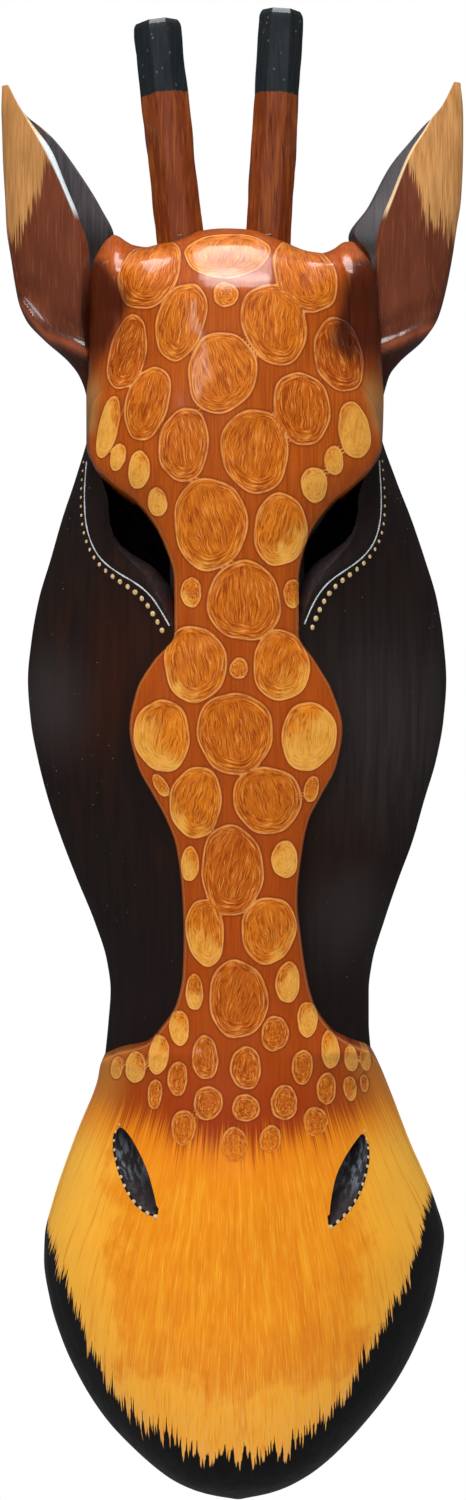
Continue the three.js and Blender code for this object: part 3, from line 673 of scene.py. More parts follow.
def cheek_paint():
    """Nearly black stain over red-brown wood, lacquered, with dust specks and a painted grey sheen."""
    f = Finish("cheek_paint", roughness=0.38, coat=0.3, coat_roughness=0.22, specular=0.25)
    streak = f.noise((4, 12, 90), 3)
    broad = f.noise((26, 26, 90), 2, seed=3)
    black = f.mix(streak, (0.006, 0.0035, 0.003), (0.020, 0.011, 0.009))
    red = f.mix(streak, (0.022, 0.004, 0.0015), (0.045, 0.011, 0.004))
    warm = f.times(f.near((-72, 560, 75), 115), f.ramp(broad, 0.3, 0.6))
    warm = f.larger(warm, f.times(f.near((-70, 470, 75), 90), f.ramp(broad, 0.5, 0.7)))
    warm = f.larger(warm, f.times(f.near((70, 450, 75), 80), 0.35))
    paint = f.mix(warm, black, red)
    plum = f.larger(f.near((-80, 345, 60), 70), f.near((85, 345, 60), 70))
    paint = f.mix(f.times(plum, 0.6), paint, (0.016, 0.007, 0.010))
    # painted sheen: grey where the lacquer on the cheeks would reflect light
    sheen = f.times(f.near((112, 520, 60), 110), f.ramp(streak, 0.3, 0.7, 0.5, 1.0))
    sheen = f.larger(sheen, f.times(f.near((-132, 540, 40), 60), 0.8))
    sheen = f.larger(sheen, f.times(f.near((85, 395, 60), 60), 0.8))
    paint = f.mix(f.times(sheen, 0.8), paint, (0.040, 0.035, 0.034))
    specks = f.ramp(f.cells((6, 6, 6), seed=5), 0.035, 0.06, 1.0, 0.0)
    specks = f.times(specks, f.ramp(f.noise((40, 40, 40), 1, seed=8), 0.5, 0.6))
    paint = f.mix(f.times(specks, 0.7), paint, (0.4, 0.37, 0.35))
    f.colour(paint)
    f.rough(f.ramp(broad, 0.3, 0.7, 0.32, 0.48))
    scratches = f.noise((0.8, 4, 30), 3, seed=14)
    f.bump(f.plus(f.times(streak, 0.8), f.times(scratches, 0.35)), 0.35)
    return f.material


def socket_paint():
    """Thick black gloss inside the eyes and nostrils."""
    f = Finish("socket_paint", roughness=0.35, coat=0.5, coat_roughness=0.2)
    brushed = f.noise((3, 5, 14), 3)
    tone = f.mix(brushed, (0.018, 0.014, 0.017), (0.090, 0.070, 0.074))
    # painted highlights on the outer slopes of the nostrils
    glints = f.larger(f.near((-77, 240, 80), 30), f.near((81, 238, 80), 30))
    tone = f.mix(f.times(glints, f.ramp(brushed, 0.45, 0.62)), tone, (0.24, 0.30, 0.35))
    dust = f.ramp(f.cells((3.5, 3.5, 3.5), seed=5), 0.05, 0.1, 1.0, 0.0)
    f.colour(f.mix(f.times(dust, 0.7), tone, (0.36, 0.35, 0.36)))
    f.rough(f.ramp(brushed, 0.3, 0.7, 0.3, 0.5))
    f.bump(brushed, 0.6)
    return f.material


def ear_lining():
    """Thin black paint inside the ears, greyed by a painted sheen that gives way to painted shade low in the
    cup, so it is greyer towards the tip.
    """
    f = Finish("ear_lining", roughness=0.35, coat=0.5, coat_roughness=0.2)
    brushed = f.noise((2, 5, 22), 3)
    # the grey in the black is a painted sheen
    tone = f.mix(brushed, (0.028, 0.024, 0.028), (0.120, 0.104, 0.114))
    height = f.height()
    # darker low in the cup: painted shade deep inside the ear
    f.colour(f.mix(f.ramp(height, 848, 880, 0.85, 0.0), tone, (0.010, 0.009, 0.010)))
    f.rough(f.ramp(brushed, 0.3, 0.7, 0.3, 0.5))
    f.bump(brushed, 0.5)
    return f.material


def deep_shade_black():
    """Dull black at the bottom of the eyes: black paint darkened further as painted shade."""
    f = Finish("deep_shade_black", roughness=0.9, specular=0.1)
    brushed = f.noise((5, 5, 20), 3)
    f.colour(f.mix(brushed, (0.0008, 0.0008, 0.0007), (0.0022, 0.002, 0.0018)))
    f.rough(f.ramp(brushed, 0.3, 0.7, 0.8, 1.0))
    f.bump(brushed, 0.4)
    return f.material


def bare_wood():
    """Unpainted, gouged and oiled wood on the back."""
    f = Finish("bare_wood", roughness=0.62, specular=0.3)
    rings = f.noise((5, 14, 90), 4)
    pores = f.noise((0.7, 0.7, 9), 2, seed=3)
    gouge = f.cells((9, 9, 26), seed=2)
    tone = f.mix(f.ramp(rings, 0.3, 0.7), (0.20, 0.095, 0.038), (0.50, 0.29, 0.14))
    tone = f.mix(f.ramp(pores, 0.55, 0.7, 0.0, 0.8), tone, (0.11, 0.05, 0.02))
    tone = f.mix(f.ramp(gouge, 0.35, 0.75, 0.0, 0.35), tone, (0.56, 0.36, 0.20))
    grime = f.ramp(f.noise((50, 50, 80), 3, seed=7), 0.45, 0.75)
    tone = f.mix(f.times(grime, 0.5), tone, (0.10, 0.055, 0.03))
    f.colour(tone)
    f.rough(f.ramp(rings, 0.3, 0.7, 0.55, 0.75))
    f.bump(f.plus(f.times(gouge, 1.0), f.times(pores, -0.25)), 1.1)
    return f.material


def horn_paint():
    """Brown stain on whittled wood, dipped black at the tip."""
    f = Finish("horn_paint", roughness=0.4, coat=0.5, coat_roughness=0.15, specular=0.2)
    to_tip = f.stored("to_tip").outputs["Fac"]
    grain = f.noise((1.4, 1.4, 26), 3)
    broad = f.noise((14, 14, 50), 2, seed=5)
    brown = f.mix(broad, (0.095, 0.016, 0.003), (0.225, 0.042, 0.008))
    brown = f.mix(f.times(f.ramp(grain, 0.5, 0.72), 0.55), brown, (0.34, 0.09, 0.014))
    brown = f.mix(f.times(f.ramp(grain, 0.44, 0.3), 0.8), brown, (0.045, 0.008, 0.001))
    blotch = f.ramp(f.noise((4, 4, 46), 3, seed=33), 0.5, 0.68, 0.0, 0.5)
    brown = f.mix(blotch, brown, (0.30, 0.075, 0.006))
    wobble = f.swing(f.noise((5, 5, 5), 2, seed=8), 3)
    tip = f.ramp(f.plus(to_tip, wobble), -0.4, 0.4)
    black = f.mix(grain, (0.004, 0.006, 0.007), (0.020, 0.026, 0.031))
    # grey specks scattered over the black tips
    grey_specks = f.ramp(f.cells((5, 5, 7), seed=11), 0.08, 0.16, 1.0, 0.0)
    black = f.mix(f.times(grey_specks, 0.55), black, (0.14, 0.155, 0.17))
    f.colour(f.mix(tip, brown, black))
    f.rough(f.ramp(broad, 0.3, 0.7, 0.32, 0.5))
    f.bump(grain, 0.4)
    return f.material


def ear_paint():
    """Brown stain with a pale tip brushed on in long strokes."""
    f = Finish("ear_paint", roughness=0.4, coat=0.5, coat_roughness=0.15, specular=0.2)
    to_tip = f.stored("to_tip").outputs["Fac"]
    rim = f.stored("rim").outputs["Fac"]
    grain = f.noise((1.2, 3, 26), 3)
    broad = f.noise((14, 20, 50), 2, seed=5)
    brown = f.mix(broad, (0.070, 0.014, 0.006), (0.20, 0.048, 0.018))
    brown = f.mix(f.times(f.ramp(grain, 0.5, 0.75), 0.5), brown, (0.27, 0.085, 0.034))
    left = f.ramp(f.axes()[0], -1, 1, 1.0, 0.0)
    pale = f.mix(f.ramp(grain, 0.25, 0.75), (0.40, 0.17, 0.045), (0.64, 0.32, 0.11))
    pale = f.mix(f.times(left, f.ramp(broad, 0.3, 0.7, 0.15, 0.6)), pale, (0.30, 0.13, 0.035))
    long_strokes = f.swing(f.noise((2.4, 20, 50), 2, seed=21), 34)
    hair_strokes = f.swing(f.noise((0.8, 20, 24), 2, seed=25), 44)
    strokes = f.plus(long_strokes, hair_strokes)
    tip = f.ramp(f.plus(to_tip, strokes), -4, 4)
    paint = f.mix(tip, brown, pale)
    height = f.height()
    # painted highlight along the front flap's inner edge: bluish-white low on the left ear, cream above it
    # and on the right ear
    bluish_highlight = f.times(left, f.ramp(height, 914, 922, 1.0, 0.0))
    edge_light = f.mix(bluish_highlight, (0.80, 0.58, 0.34), (0.66, 0.76, 0.80))
    paint = f.mix(f.times(rim, 0.9), paint, edge_light)
    # painted highlight on the lit top of the rolled lip
    ridge = f.times(f.stored("ridge").outputs["Fac"], f.ramp(broad, 0.3, 0.6, 0.4, 1.0))
    # painted shade: in the crease by the head, under the lip and in the dish above it
    shade = f.stored("shade").outputs["Fac"]
    paint = f.mix(shade, paint, f.mix(1.0, paint, (0.24, 0.20, 0.3), "MULTIPLY"))
    f.colour(f.mix(f.times(ridge, 0.8), paint, (0.42, 0.10, 0.035)))
    f.rough(f.ramp(broad, 0.3, 0.7, 0.32, 0.5))
    f.bump(grain, 0.4)
    return f.material


def cream_paint(name="cream_paint", base=(0.80, 0.72, 0.56)):
    """Thick dabs of off-white paint; the bluish-white version is a painted highlight along the eye rims."""
    f = Finish(name, roughness=0.45, coat=0.3, coat_roughness=0.2)
    mottle = f.noise((1.5, 1.5, 1.5), 3)
    dark = tuple(c * 0.62 for c in base)
    f.colour(f.mix(f.ramp(mottle, 0.35, 0.65), dark, base))
    f.rough(f.ramp(mottle, 0.3, 0.7, 0.35, 0.6))
    f.bump(mottle, 0.15)
    return f.material


def dowel_wood():
    f = Finish("dowel_wood", roughness=0.65)
    grain = f.noise((20, 0.7, 0.7), 3)
    f.colour(f.mix(grain, (0.46, 0.29, 0.14), (0.68, 0.48, 0.27)))
    f.rough(f.ramp(grain, 0.3, 0.7, 0.55, 0.75))
    f.bump(grain, 0.1)
    return f.material


def plated_steel(name, tint, rust):
    f = Finish(name, roughness=0.35, metallic=1.0)
    cloud = f.noise((4, 4, 4), 3)
    brushed = f.noise((9, 0.4, 0.4), 2, seed=3)
    dark = tuple(c * 0.6 for c in tint)
    tone = f.mix(f.ramp(cloud, 0.3, 0.7), dark, tint)
    stain = f.times(f.ramp(f.noise((3, 3, 3), 4, seed=9), 0.55, 0.72), rust)
    f.colour(f.mix(stain, tone, (0.16, 0.055, 0.02)))
    f.rough(f.ramp(cloud, 0.3, 0.7, 0.24, 0.48))
    f.bump(brushed, 0.03)
    return f.material


FACE, CHEEK, SOCKET, BACK, DEEP_SHADE = range(5)
MASK_FINISHES = [face_paint(), cheek_paint(), socket_paint(), bare_wood(), deep_shade_black()]
EAR_FINISHES = [ear_paint(), ear_lining()]


# ---------- carved face ----------
edge_left, edge_right = column(FACE_EDGE, 1), column(FACE_EDGE, 2)
top_side_left, top_side_right = column(TOP_SIDE, 1), column(TOP_SIDE, 2)
middle_depth = smooth_curve(FACE_MIDDLE)
shoulder_depth = smooth_curve(FACE_SHOULDER)
flank_depth = smooth_curve(FACE_FLANK)
top_line = smooth_curve(TOP_LINE)
SIDE_STEP = 1.0  # the band's walls stand this far outside its front edge
SCALLOP_FROM = 790  # above this height the rows bend up to the brow's scalloped top


def side_width(edge, top_side, height):
    blend = np.clip((height - 700) / 12, 0, 1)
    return (edge(height) + SIDE_STEP) * (1 - blend) + top_side(height) * blend


def half_face_ring(height, edge, side):
    """One half of a row across the face, from the middle out to the wall: x and depth."""
    temples = smooth_step(height, 735, 765)
    width = edge(height) * (1 - temples) + (side - 22) * temples
    rounding = min(2.2, width * 0.2) * (1 - 0.9 * temples)
    middle, shoulder = middle_depth(height), shoulder_depth(height)
    flank = min(flank_depth(height), shoulder - rounding - 1)
    across = width - rounding
    xs = np.concatenate([np.linspace(0, across, 46), across + rounding * np.sin(np.linspace(0.3, 1.57, 5))])
    bulge = (1 - np.clip(xs / width, 0, 1) ** 2.4) ** 0.8
    depths = shoulder + (middle - shoulder) * bulge
    over = np.clip((xs - across) / rounding, 0, 1)
    depths -= rounding * (1 - np.sqrt(1 - over * over)) * 0.8
    # a straight slope down to the wall, or a round one beside the ears
    out = np.sin(np.linspace(0, math.pi / 2, 15))[1:]
    fall = out * (1 - temples) + (1 - np.sqrt(1 - out * out)) * temples
    xs = np.concatenate([xs, width + (side - width) * out])
    depths = np.concatenate([depths, depths[-1] + (flank - depths[-1]) * fall])
    wall = np.array([0.75, 0.5, 0.25, 0.08, 0])
    xs = np.concatenate([xs, np.full(len(wall), side)])
    depths = np.concatenate([depths, flank * wall])
    return xs, depths


def face_rings():
    heights = np.concatenate([
        np.array([0, 0.8, 2, 3.5]), np.arange(5, 284, 2.0), np.arange(285, 345, 1.2),
        np.arange(346, 826, 2.0), np.arange(827, 857.1, 1.25), [BROW_TOP],
    ])
    rings = []
    for height in heights:
        right_side = side_width(edge_right, top_side_right, height)
        left_side = side_width(edge_left, top_side_left, height)
        right_x, right_depth = half_face_ring(height, edge_right, right_side)
        left_x, left_depth = half_face_ring(height, edge_left, left_side)
        back = np.linspace(right_side, -left_side, 16)[1:-1]
        x = np.concatenate([-left_x[:0:-1], right_x, back])
        depth = np.concatenate([left_depth[:0:-1], right_depth, np.zeros(len(back))])
        rings.append(np.stack([x, np.full(len(x), height), depth], axis=1))
    return np.array(rings)


def carve_face():
    rings = capped(face_rings())
    x, height, depth = rings[..., 0], rings[..., 1], rings[..., 2]
    lift = np.clip((height - SCALLOP_FROM) / (BROW_TOP - SCALLOP_FROM), 0, 1)
    rings[..., 1] = height + lift ** 3.5 * (top_line(x) - BROW_TOP)
    front = np.clip((depth - 15) / 15, 0, 1)
    rise = smooth_step(height, 795, 822)
    lobes = 9 * np.exp(-(((np.abs(x) - 84) / 26) ** 2)) - 1.5 * np.exp(-(((np.abs(x) - 44) / 12) ** 2))
    uneven = 0.5 * ripple(x, height, 23, 1.3) + 0.18 * ripple(x, height, 7, 4.1)
    rings[..., 2] = depth + front * (uneven + rise * lobes)
    return skin("carved_mask", rings, MASK_FINISHES, FACE)


cheek_left, cheek_right = column(CHEEK_EDGE, 1), column(CHEEK_EDGE, 2)
cheek_depth = smooth_curve(CHEEK_MIDDLE)


def carve_cheeks():
    rings = []
    spread = np.sin(np.linspace(-1, 1, 151) * math.pi / 2) * 0.55 + np.linspace(-1, 1, 151) * 0.45
    for height in np.arange(298, 770, 2.2):
        left, right = cheek_left(height), cheek_right(height)
        x = np.where(spread < 0, spread * left, spread * right)
        depth = 20 + (cheek_depth(height) - 20) * (1 - spread ** 2)
        depth -= 2.5 * np.clip(np.abs(spread) * 12 - 11, 0, 1) ** 2
        wall = np.array([0.8, 0.5, 0.2, 0])
        x = np.concatenate([np.full(4, -left), x, np.full(4, right), np.linspace(right, -left, 14)[1:-1]])
        depth = np.concatenate([17 * wall[::-1], depth, 17 * wall, np.zeros(12)])
        rings.append(np.stack([x, np.full(len(x), height), depth], axis=1))
    rings = capped(np.array(rings))
    x, height, depth = rings[..., 0], rings[..., 1], rings[..., 2]
    front = np.clip((depth - 20) / 12, 0, 1)
    rim = np.minimum(distance_to_line(x, height, LEFT_RIM), distance_to_line(x, height, RIGHT_RIM))
    ridge = 3.0 * np.exp(-((rim / 6.5) ** 2))
    uneven = 0.8 * ripple(x, height, 30, 2.2) + 0.2 * ripple(x, height, 8, 5.0)
    rings[..., 2] = depth + front * (ridge + uneven)
    return skin("carved_cheeks", rings, MASK_FINISHES, CHEEK)


def inset(outline, amount):
    """The outline drawn in towards its middle by about this much, by its own inward normals."""
    points = np.array(outline, float)
    ahead, behind = np.roll(points, -1, axis=0), np.roll(points, 1, axis=0)
    tangent = ahead - behind
    normal = np.stack([-tangent[:, 1], tangent[:, 0]], axis=1)
    normal /= np.linalg.norm(normal, axis=1, keepdims=True)
    area = np.sum(points[:, 0] * ahead[:, 1] - ahead[:, 0] * points[:, 1])
    return points + normal * np.sign(area) * np.reshape(amount, (-1, 1))


def finer(outline, step):
    """The same closed outline with points every step or so."""
    points = np.array(outline, float)
    result = []
    for start, end in zip(points, np.roll(points, -1, axis=0)):
        count = max(1, int(np.linalg.norm(end - start) / step))
        result.extend(start + (end - start) * k / count for k in range(count))
    return np.array(result)


def rounded(outline, passes=2):
    """Cuts the corners of a closed outline."""
    points = np.array(outline, float)
    for _ in range(passes):
        ahead = np.roll(points, -1, axis=0)
        points = np.stack([points * 0.75 + ahead * 0.25, points * 0.25 + ahead * 0.75], axis=1).reshape(-1, 2)
    return points


def socket(name, outline):
    """A cutter for an eye: dished walls below the rim, then a straight-sided deep hole."""
    rings = []
    height = outline[:, 1]
    pinch = 1 - 0.6 * smooth_step(height, 672, 710) - 0.5 * smooth_step(height, 622, 588)
    deep_hole = [(18, 22), (19, 19), (23, 16.5), (40, 16), (55, 15.5), (58, 15)]
    dished_wall = [(63, 13.5), (70, 11), (78, 7.5), (86, 4), (93, 1.5), (98, 0.2), (102, -0.6), (170, -0.6)]
    for depth, amount in [*deep_hole, *dished_wall]:
        ring = inset(outline, amount * pinch)
        rings.append(np.column_stack([ring, np.full(len(ring), depth)]))
    return skin(name, capped(np.array(rings), (0.8, 0.5, 0.2, 0)), MASK_FINISHES, SOCKET)


def nostril(name, outline, shift):
    """A scooped nostril: a long slope on the outer side, a steep wall on the inner side."""
    outline = rounded(outline)
    rings = []
    ground = front_depth(outline[:, 0], outline[:, 1])
    for share in (0, 0.15, 0.4, 0.7, 1):
        sink = 17 * (1 - share) ** 0.8
        ring = inset(outline, np.full(len(outline), 3.5 * (1 - share)))
        ring = ring + np.array(shift) * (1 - share)
        rings.append(np.column_stack([ring, ground - sink]))
    rings.append(np.column_stack([inset(outline, np.full(len(outline), -1.0)), ground + 14]))
    return skin(name, capped(np.array(rings), (0.8, 0.5, 0.2, 0)), MASK_FINISHES, SOCKET)


def front_depth(x, height):
    """Depth of the carved face's front at a point."""
    width = np.where(x < 0, edge_left(height), edge_right(height))
    bulge = (1 - np.clip(np.abs(x) / width, 0, 1) ** 2.4) ** 0.8
    return shoulder_depth(height) + (middle_depth(height) - shoulder_depth(height)) * bulge


def carve_hollow():
    left, right, middle = column(HOLLOW_EDGE, 1), column(HOLLOW_EDGE, 2), smooth_curve(HOLLOW_MIDDLE)
    rings = []
    heights = np.concatenate([
        np.arange(62, 540, 5.0), np.arange(541, 590, 2.5), np.arange(592, 701, 6.0), [700],
    ])
    for height in heights:
        spread = np.linspace(-1, 1, 41)
        x = np.where(spread < 0, spread * left(height), spread * right(height))
        depth = middle(height) * (1 - np.abs(spread) ** 2.2)
        chisel = 1.1 * ripple(x, height, 9, 7.7) * np.clip(1 - spread ** 4, 0, 1)
        x = np.concatenate([[-left(height)], x, [right(height)]])
        depth = np.concatenate([[-6], depth + chisel, [-6]])
        rings.append(np.stack([x, np.full(len(x), height), depth], axis=1))
    return skin("hollow", capped(np.array(rings), (0.9, 0.6, 0.3, 0)), MASK_FINISHES, BACK)


def block(low, high):
    """A plain cutting block between two corners in the row frame, in metres. Its cuts show bare wood."""
    deselect()
    middle = [(a + b) / 2 for a, b in zip(low, high)]
    bpy.ops.mesh.primitive_cube_add(size=1, location=middle)
    piece = bpy.context.object
    piece.scale = [b - a for a, b in zip(low, high)]
    bpy.ops.object.transform_apply(location=True, rotation=True, scale=True)
    for material in MASK_FINISHES:
        piece.data.materials.append(material)
    piece.data.polygons.foreach_set("material_index", np.full(6, BACK, np.int32))
    return piece


def carve_mask():
    mask = carve_cheeks()
    left_eye = finer([*LEFT_RIM, *LEFT_EYE_BACK], 2.5)
    right_eye = finer([*RIGHT_RIM, *RIGHT_EYE_BACK], 2.5)
    combine(mask, socket("left_socket", left_eye))
    combine(mask, socket("right_socket", right_eye))
    combine(mask, carve_face(), "UNION")
    combine(mask, carve_hollow())
    combine(mask, nostril("left_hole", LEFT_NOSTRIL, (8, 4)))
    combine(mask, nostril("right_hole", RIGHT_NOSTRIL, (-8, 4)))
    strap_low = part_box("hanger_strap")[0]
    ring_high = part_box("hanger_ring")[1]
    pocket_low = (-24 * MM, -8 * MM, strap_low.z - 6 * MM)
    pocket_high = (24 * MM, 10 * MM, ring_high.z + 10 * MM)
    combine(mask, block(pocket_low, pocket_high))
    mask.name = "carved_mask"
    mark_mask(mask)
    smooth_shading(mask, 32)
    belongs(mask, "mask", "face_wood", "mask_body")
    return mask


def spot_values(x, height):
    """For each point: distance outside the nearest spot, and what the paint needs to know of that spot."""
    best = np.full(x.shape, 1e9)
    values = [np.zeros(x.shape) for _ in range(8)]
    for number, (sx, sh, half_width, half_height, lean, tone, pale) in enumerate(SPOTS):
        angle = math.radians(lean)
        dx, dh = x - sx, height - sh
        across = dx * math.cos(angle) - dh * math.sin(angle)
        along = dx * math.sin(angle) + dh * math.cos(angle)
        u, v = across / half_width, along / half_height
        size = (np.abs(u) ** 2.06 + np.abs(v) ** 2.06) ** (1 / 2.06)
        turn = np.arctan2(v, u)
        wobble = 1 + 0.03 * np.sin(2 * turn + number * 2.1) + 0.028 * np.sin(3 * turn + number * 1.3)
        wobble = wobble + 0.012 * np.sin(7 * turn + number)
        away = np.hypot(across, along) / np.maximum(size, 1e-6) * (size - wobble)
        # the hatching leans its own way in each spot and bows out with the outline
        tilt = 0.28 * math.sin(number * 2.7 + 0.8)
        bow = 1 / np.sqrt(1 - np.clip(0.75 * v * v, 0, 0.85))
        hatch_x, hatch_z = (across - tilt * along) * bow, along + tilt * across
        # paint is rubbed paler at the lower, outer side
        outer = 1 if sx > 0 else -1
        side_on = (0.55 * u * outer - 0.75 * v) * 0.8
        closer = away < best
        best = np.where(closer, away, best)
        for store, value in zip(values, (tone, pale, u, v, number * 3.7 % 11, hatch_x, hatch_z, side_on)):
            np.copyto(store, value, where=closer)
    return best, values


def above_lip(x, height):
    """Height above the black lip's border, negative on the lip."""
    line = np.array(LIP_BORDER, float)
    return height - np.interp(x, line[:, 0], line[:, 1], left=206, right=214)


def mark_mask(mask):
    x, height, depth = from_row(vertex_places(mask))
    away, (tone, pale, u, v, seed, hatch_x, hatch_z, side_on) = spot_values(x, height)
    paint_value(mask, "spot", away, tone, pale)
    paint_value(mask, "spot_at", u, v, seed)
    paint_value(mask, "hatch", hatch_x, hatch_z, side_on)
    to_muzzle = height - (247 + 20 * (np.abs(x) / 92) ** 1.6)
    width = np.where(x < 0, edge_left(height), edge_right(height))
    lean = np.where(x < 0, edge_left(height + 1), edge_right(height + 1)) - width
    to_edge = (width - np.abs(x)) / np.sqrt(1 + lean * lean)
    paint_value(mask, "borders", to_muzzle, above_lip(x, height), to_edge)
    paint_value(mask, "share", np.clip(np.abs(x) / width, 0, 1.2))
    round_the_side = np.abs(x) + np.maximum(middle_depth(height) - depth, 0)
    fan = np.sign(x) * round_the_side * 350 / (470 - np.minimum(height, 330))
    to_hole = np.minimum(
        distance_to_line(x, height, LEFT_NOSTRIL[1:10]), distance_to_line(x, height, RIGHT_NOSTRIL[1:10])
    )
    # the dark temple beside each ear: part stain, part painted shade
    border = np.where(x < 0, column(TEMPLE, 1)(height), column(TEMPLE, 2)(height))
    stain_and_shade = smooth_step(np.abs(x) - border, -4, 7) * smooth_step(height, 745, 780)
    paint_value(mask, "brushing_and_shade", fan, to_hole, stain_and_shade * smooth_step(height, 838, 829))

    # the flat back and the foot of every wall stay bare
    _, _, centre_depth = from_row(face_centres(mask))
    finish = np.empty(len(mask.data.polygons), np.int32)
    mask.data.polygons.foreach_get("material_index", finish)
    finish[centre_depth < 0.4] = BACK
    # the bottom of each eye gets a darker black, painted shade deep in the socket
    finish[(finish == SOCKET) & (centre_depth < 57)] = DEEP_SHADE
    mask.data.polygons.foreach_set("material_index", finish)


# ---------- ears ----------
def ear_rings(rows, side, heights, wall, opening, lip):
    """Rows up an ear: round the outside from the rear edge to the front edge, then back along the head."""
    columns = [column(rows, index) for index in (1, 2, 3, 4, 5)]
    seat = EAR_SEATS[side] + 1
    rings = []
    for height, wall_here in zip(heights, wall):
        fold, front_edge, rear_edge, rear, front = (value(height) for value in columns)
        rear, front = rear + wall_here, front - wall_here * 0.4
        v = np.sin(np.linspace(-1, 1, 91) * math.pi / 2)
        edge = np.where(v < 0, rear_edge, front_edge) - opening
        boxy = 1.9 + 1.3 * (1 - smooth_step(height, 788, 815))
        x = (fold - wall_here) + (edge - fold + wall_here) * np.abs(v) ** boxy
        depth = (rear + front) / 2 + v * (front - rear) / 2
        # the thickness of the front flap shows as a bevel beside the head
        bevel = 0.8 + 3.2 * math.exp(-(((height - 908) / 17) ** 2)) if side < 0 else 0.8
        bevel *= smooth_step(height, 770, 800) * (1 - smooth_step(height, 915, 938)) * (opening == 0)
        flat = 0.5 + 0.5 * smooth_step(height, 840, 862)
        share = np.linspace(0, 1, 14)[1:-1]
        inner_x = x[-1] - bevel + (x[0] - x[-1] + bevel) * share
        inner_depth = depth[-1] - bevel * 0.6 + (depth[0] - depth[-1] + bevel * 0.6) * share
        pull = np.clip(np.sin(share * math.pi) * 2.2, 0, 1) * (1 - flat) * 2
        if opening == 0:
            inner_x += (seat - inner_x) * pull
        x = np.concatenate([x, [x[-1] - bevel * 0.5, x[-1] - bevel], inner_x])
        depth = np.concatenate([depth, [depth[-1] - bevel * 0.2, depth[-1] - bevel * 0.6], inner_depth])
        rings.append(np.stack([side * x, np.full(len(x), height), depth], axis=1))
    rings = np.array(rings)
    if lip is not None:
        x, height, depth = rings[..., 0], rings[..., 1], rings[..., 2]
        front_side = np.clip((depth - 40) / 14, 0, 1)
        away = distance_to_line(x, height, lip)
        ridge = 8.0 * np.exp(-((away / 3.8) ** 2))
        above = smooth_step(distance_above(x, height, lip), 0, 6)
        dish = -3.5 * np.exp(-(((away - 11) / 7) ** 2)) * above - 5 * (1 - above)
        rings[..., 2] = depth + front_side * (ridge + dish + 0.4 * ripple(x, height, 16, 3.0))
    return rings


def blacken_rear_edge(ear, rows):
    """The lining's black paint wraps over the edge of the rear flap."""
    x, height, depth = from_row(face_centres(ear))
    rear_edge, rear = column(rows, 3)(height), column(rows, 4)(height)
    finish = np.empty(len(x), np.int32)
    ear.data.polygons.foreach_get("material_index", finish)
    near_edge = (np.abs(x) - rear_edge < 5) & (depth > rear - 1) & (depth < rear + 16)
    wrapped = near_edge & (height > 836) & (height < 926)
    finish[wrapped] = 1
    ear.data.polygons.foreach_set("material_index", finish)


def carve_ear(name, rows, side, lip, pale_tip, node):
    foot, top = rows[0][0], rows[-1][0]
    heights = np.linspace(foot, top, 110)
    ear = skin(name, capped(ear_rings(rows, side, heights, np.zeros(110), 0, lip)), EAR_FINISHES)
    heights = np.linspace(824, top - 9, 56)
    done = np.linspace(0.14, 1, 56)
    wall = 8 * (1.25 - 0.25 * np.minimum(1, done * 5)) * (1 - 0.72 * done)
    scoop_rings = ear_rings(rows, side, heights, wall, 16, None)
    scoop_rings[0] = scoop_rings[0] * 0.5 + scoop_rings[0].mean(axis=0) * 0.5
    scoop_rings[0, :, 1] = 821
    combine(ear, skin("scoop", capped(scoop_rings, (0.7, 0.4, 0)), EAR_FINISHES, 1))
    x, height, depth = from_row(vertex_places(ear))
    border = smooth_curve(pale_tip)(x)
    paint_value(ear, "to_tip", height - border)
    front_edge = column(rows, 2)(height)
    # where the painted highlight on the front flap's edge goes
    rim = np.clip(front_edge + 0.6 - np.abs(x), 0, 1) * np.clip((depth - 48) / 5, 0, 1)
    paint_value(ear, "rim", rim * np.clip((height - 860) / 8, 0, 1))
    # painted shade for the crease beside the head, the underside of the lip and the dish above it
    crease = smooth_step(np.abs(x), front_edge + 4, front_edge - 2) * smooth_step(height, 832, 800)
    above = distance_above(x, height, lip)
    under = smooth_step(above, -1, -5)
    hollow = 0.55 * np.exp(-(((above - 6.5) / 3) ** 2))
    paint_value(ear, "shade", np.clip(crease + 0.85 * under + hollow, 0, 1))
    # where the painted highlight on the lip's ridge goes
    paint_value(ear, "ridge", np.exp(-(((above - 0.5) / 2.2) ** 2)) * smooth_step(depth, 45, 55))
    blacken_rear_edge(ear, rows)
    smooth_shading(ear, 35)
    belongs(ear, "mask", "ear_wood", node)
    return ear


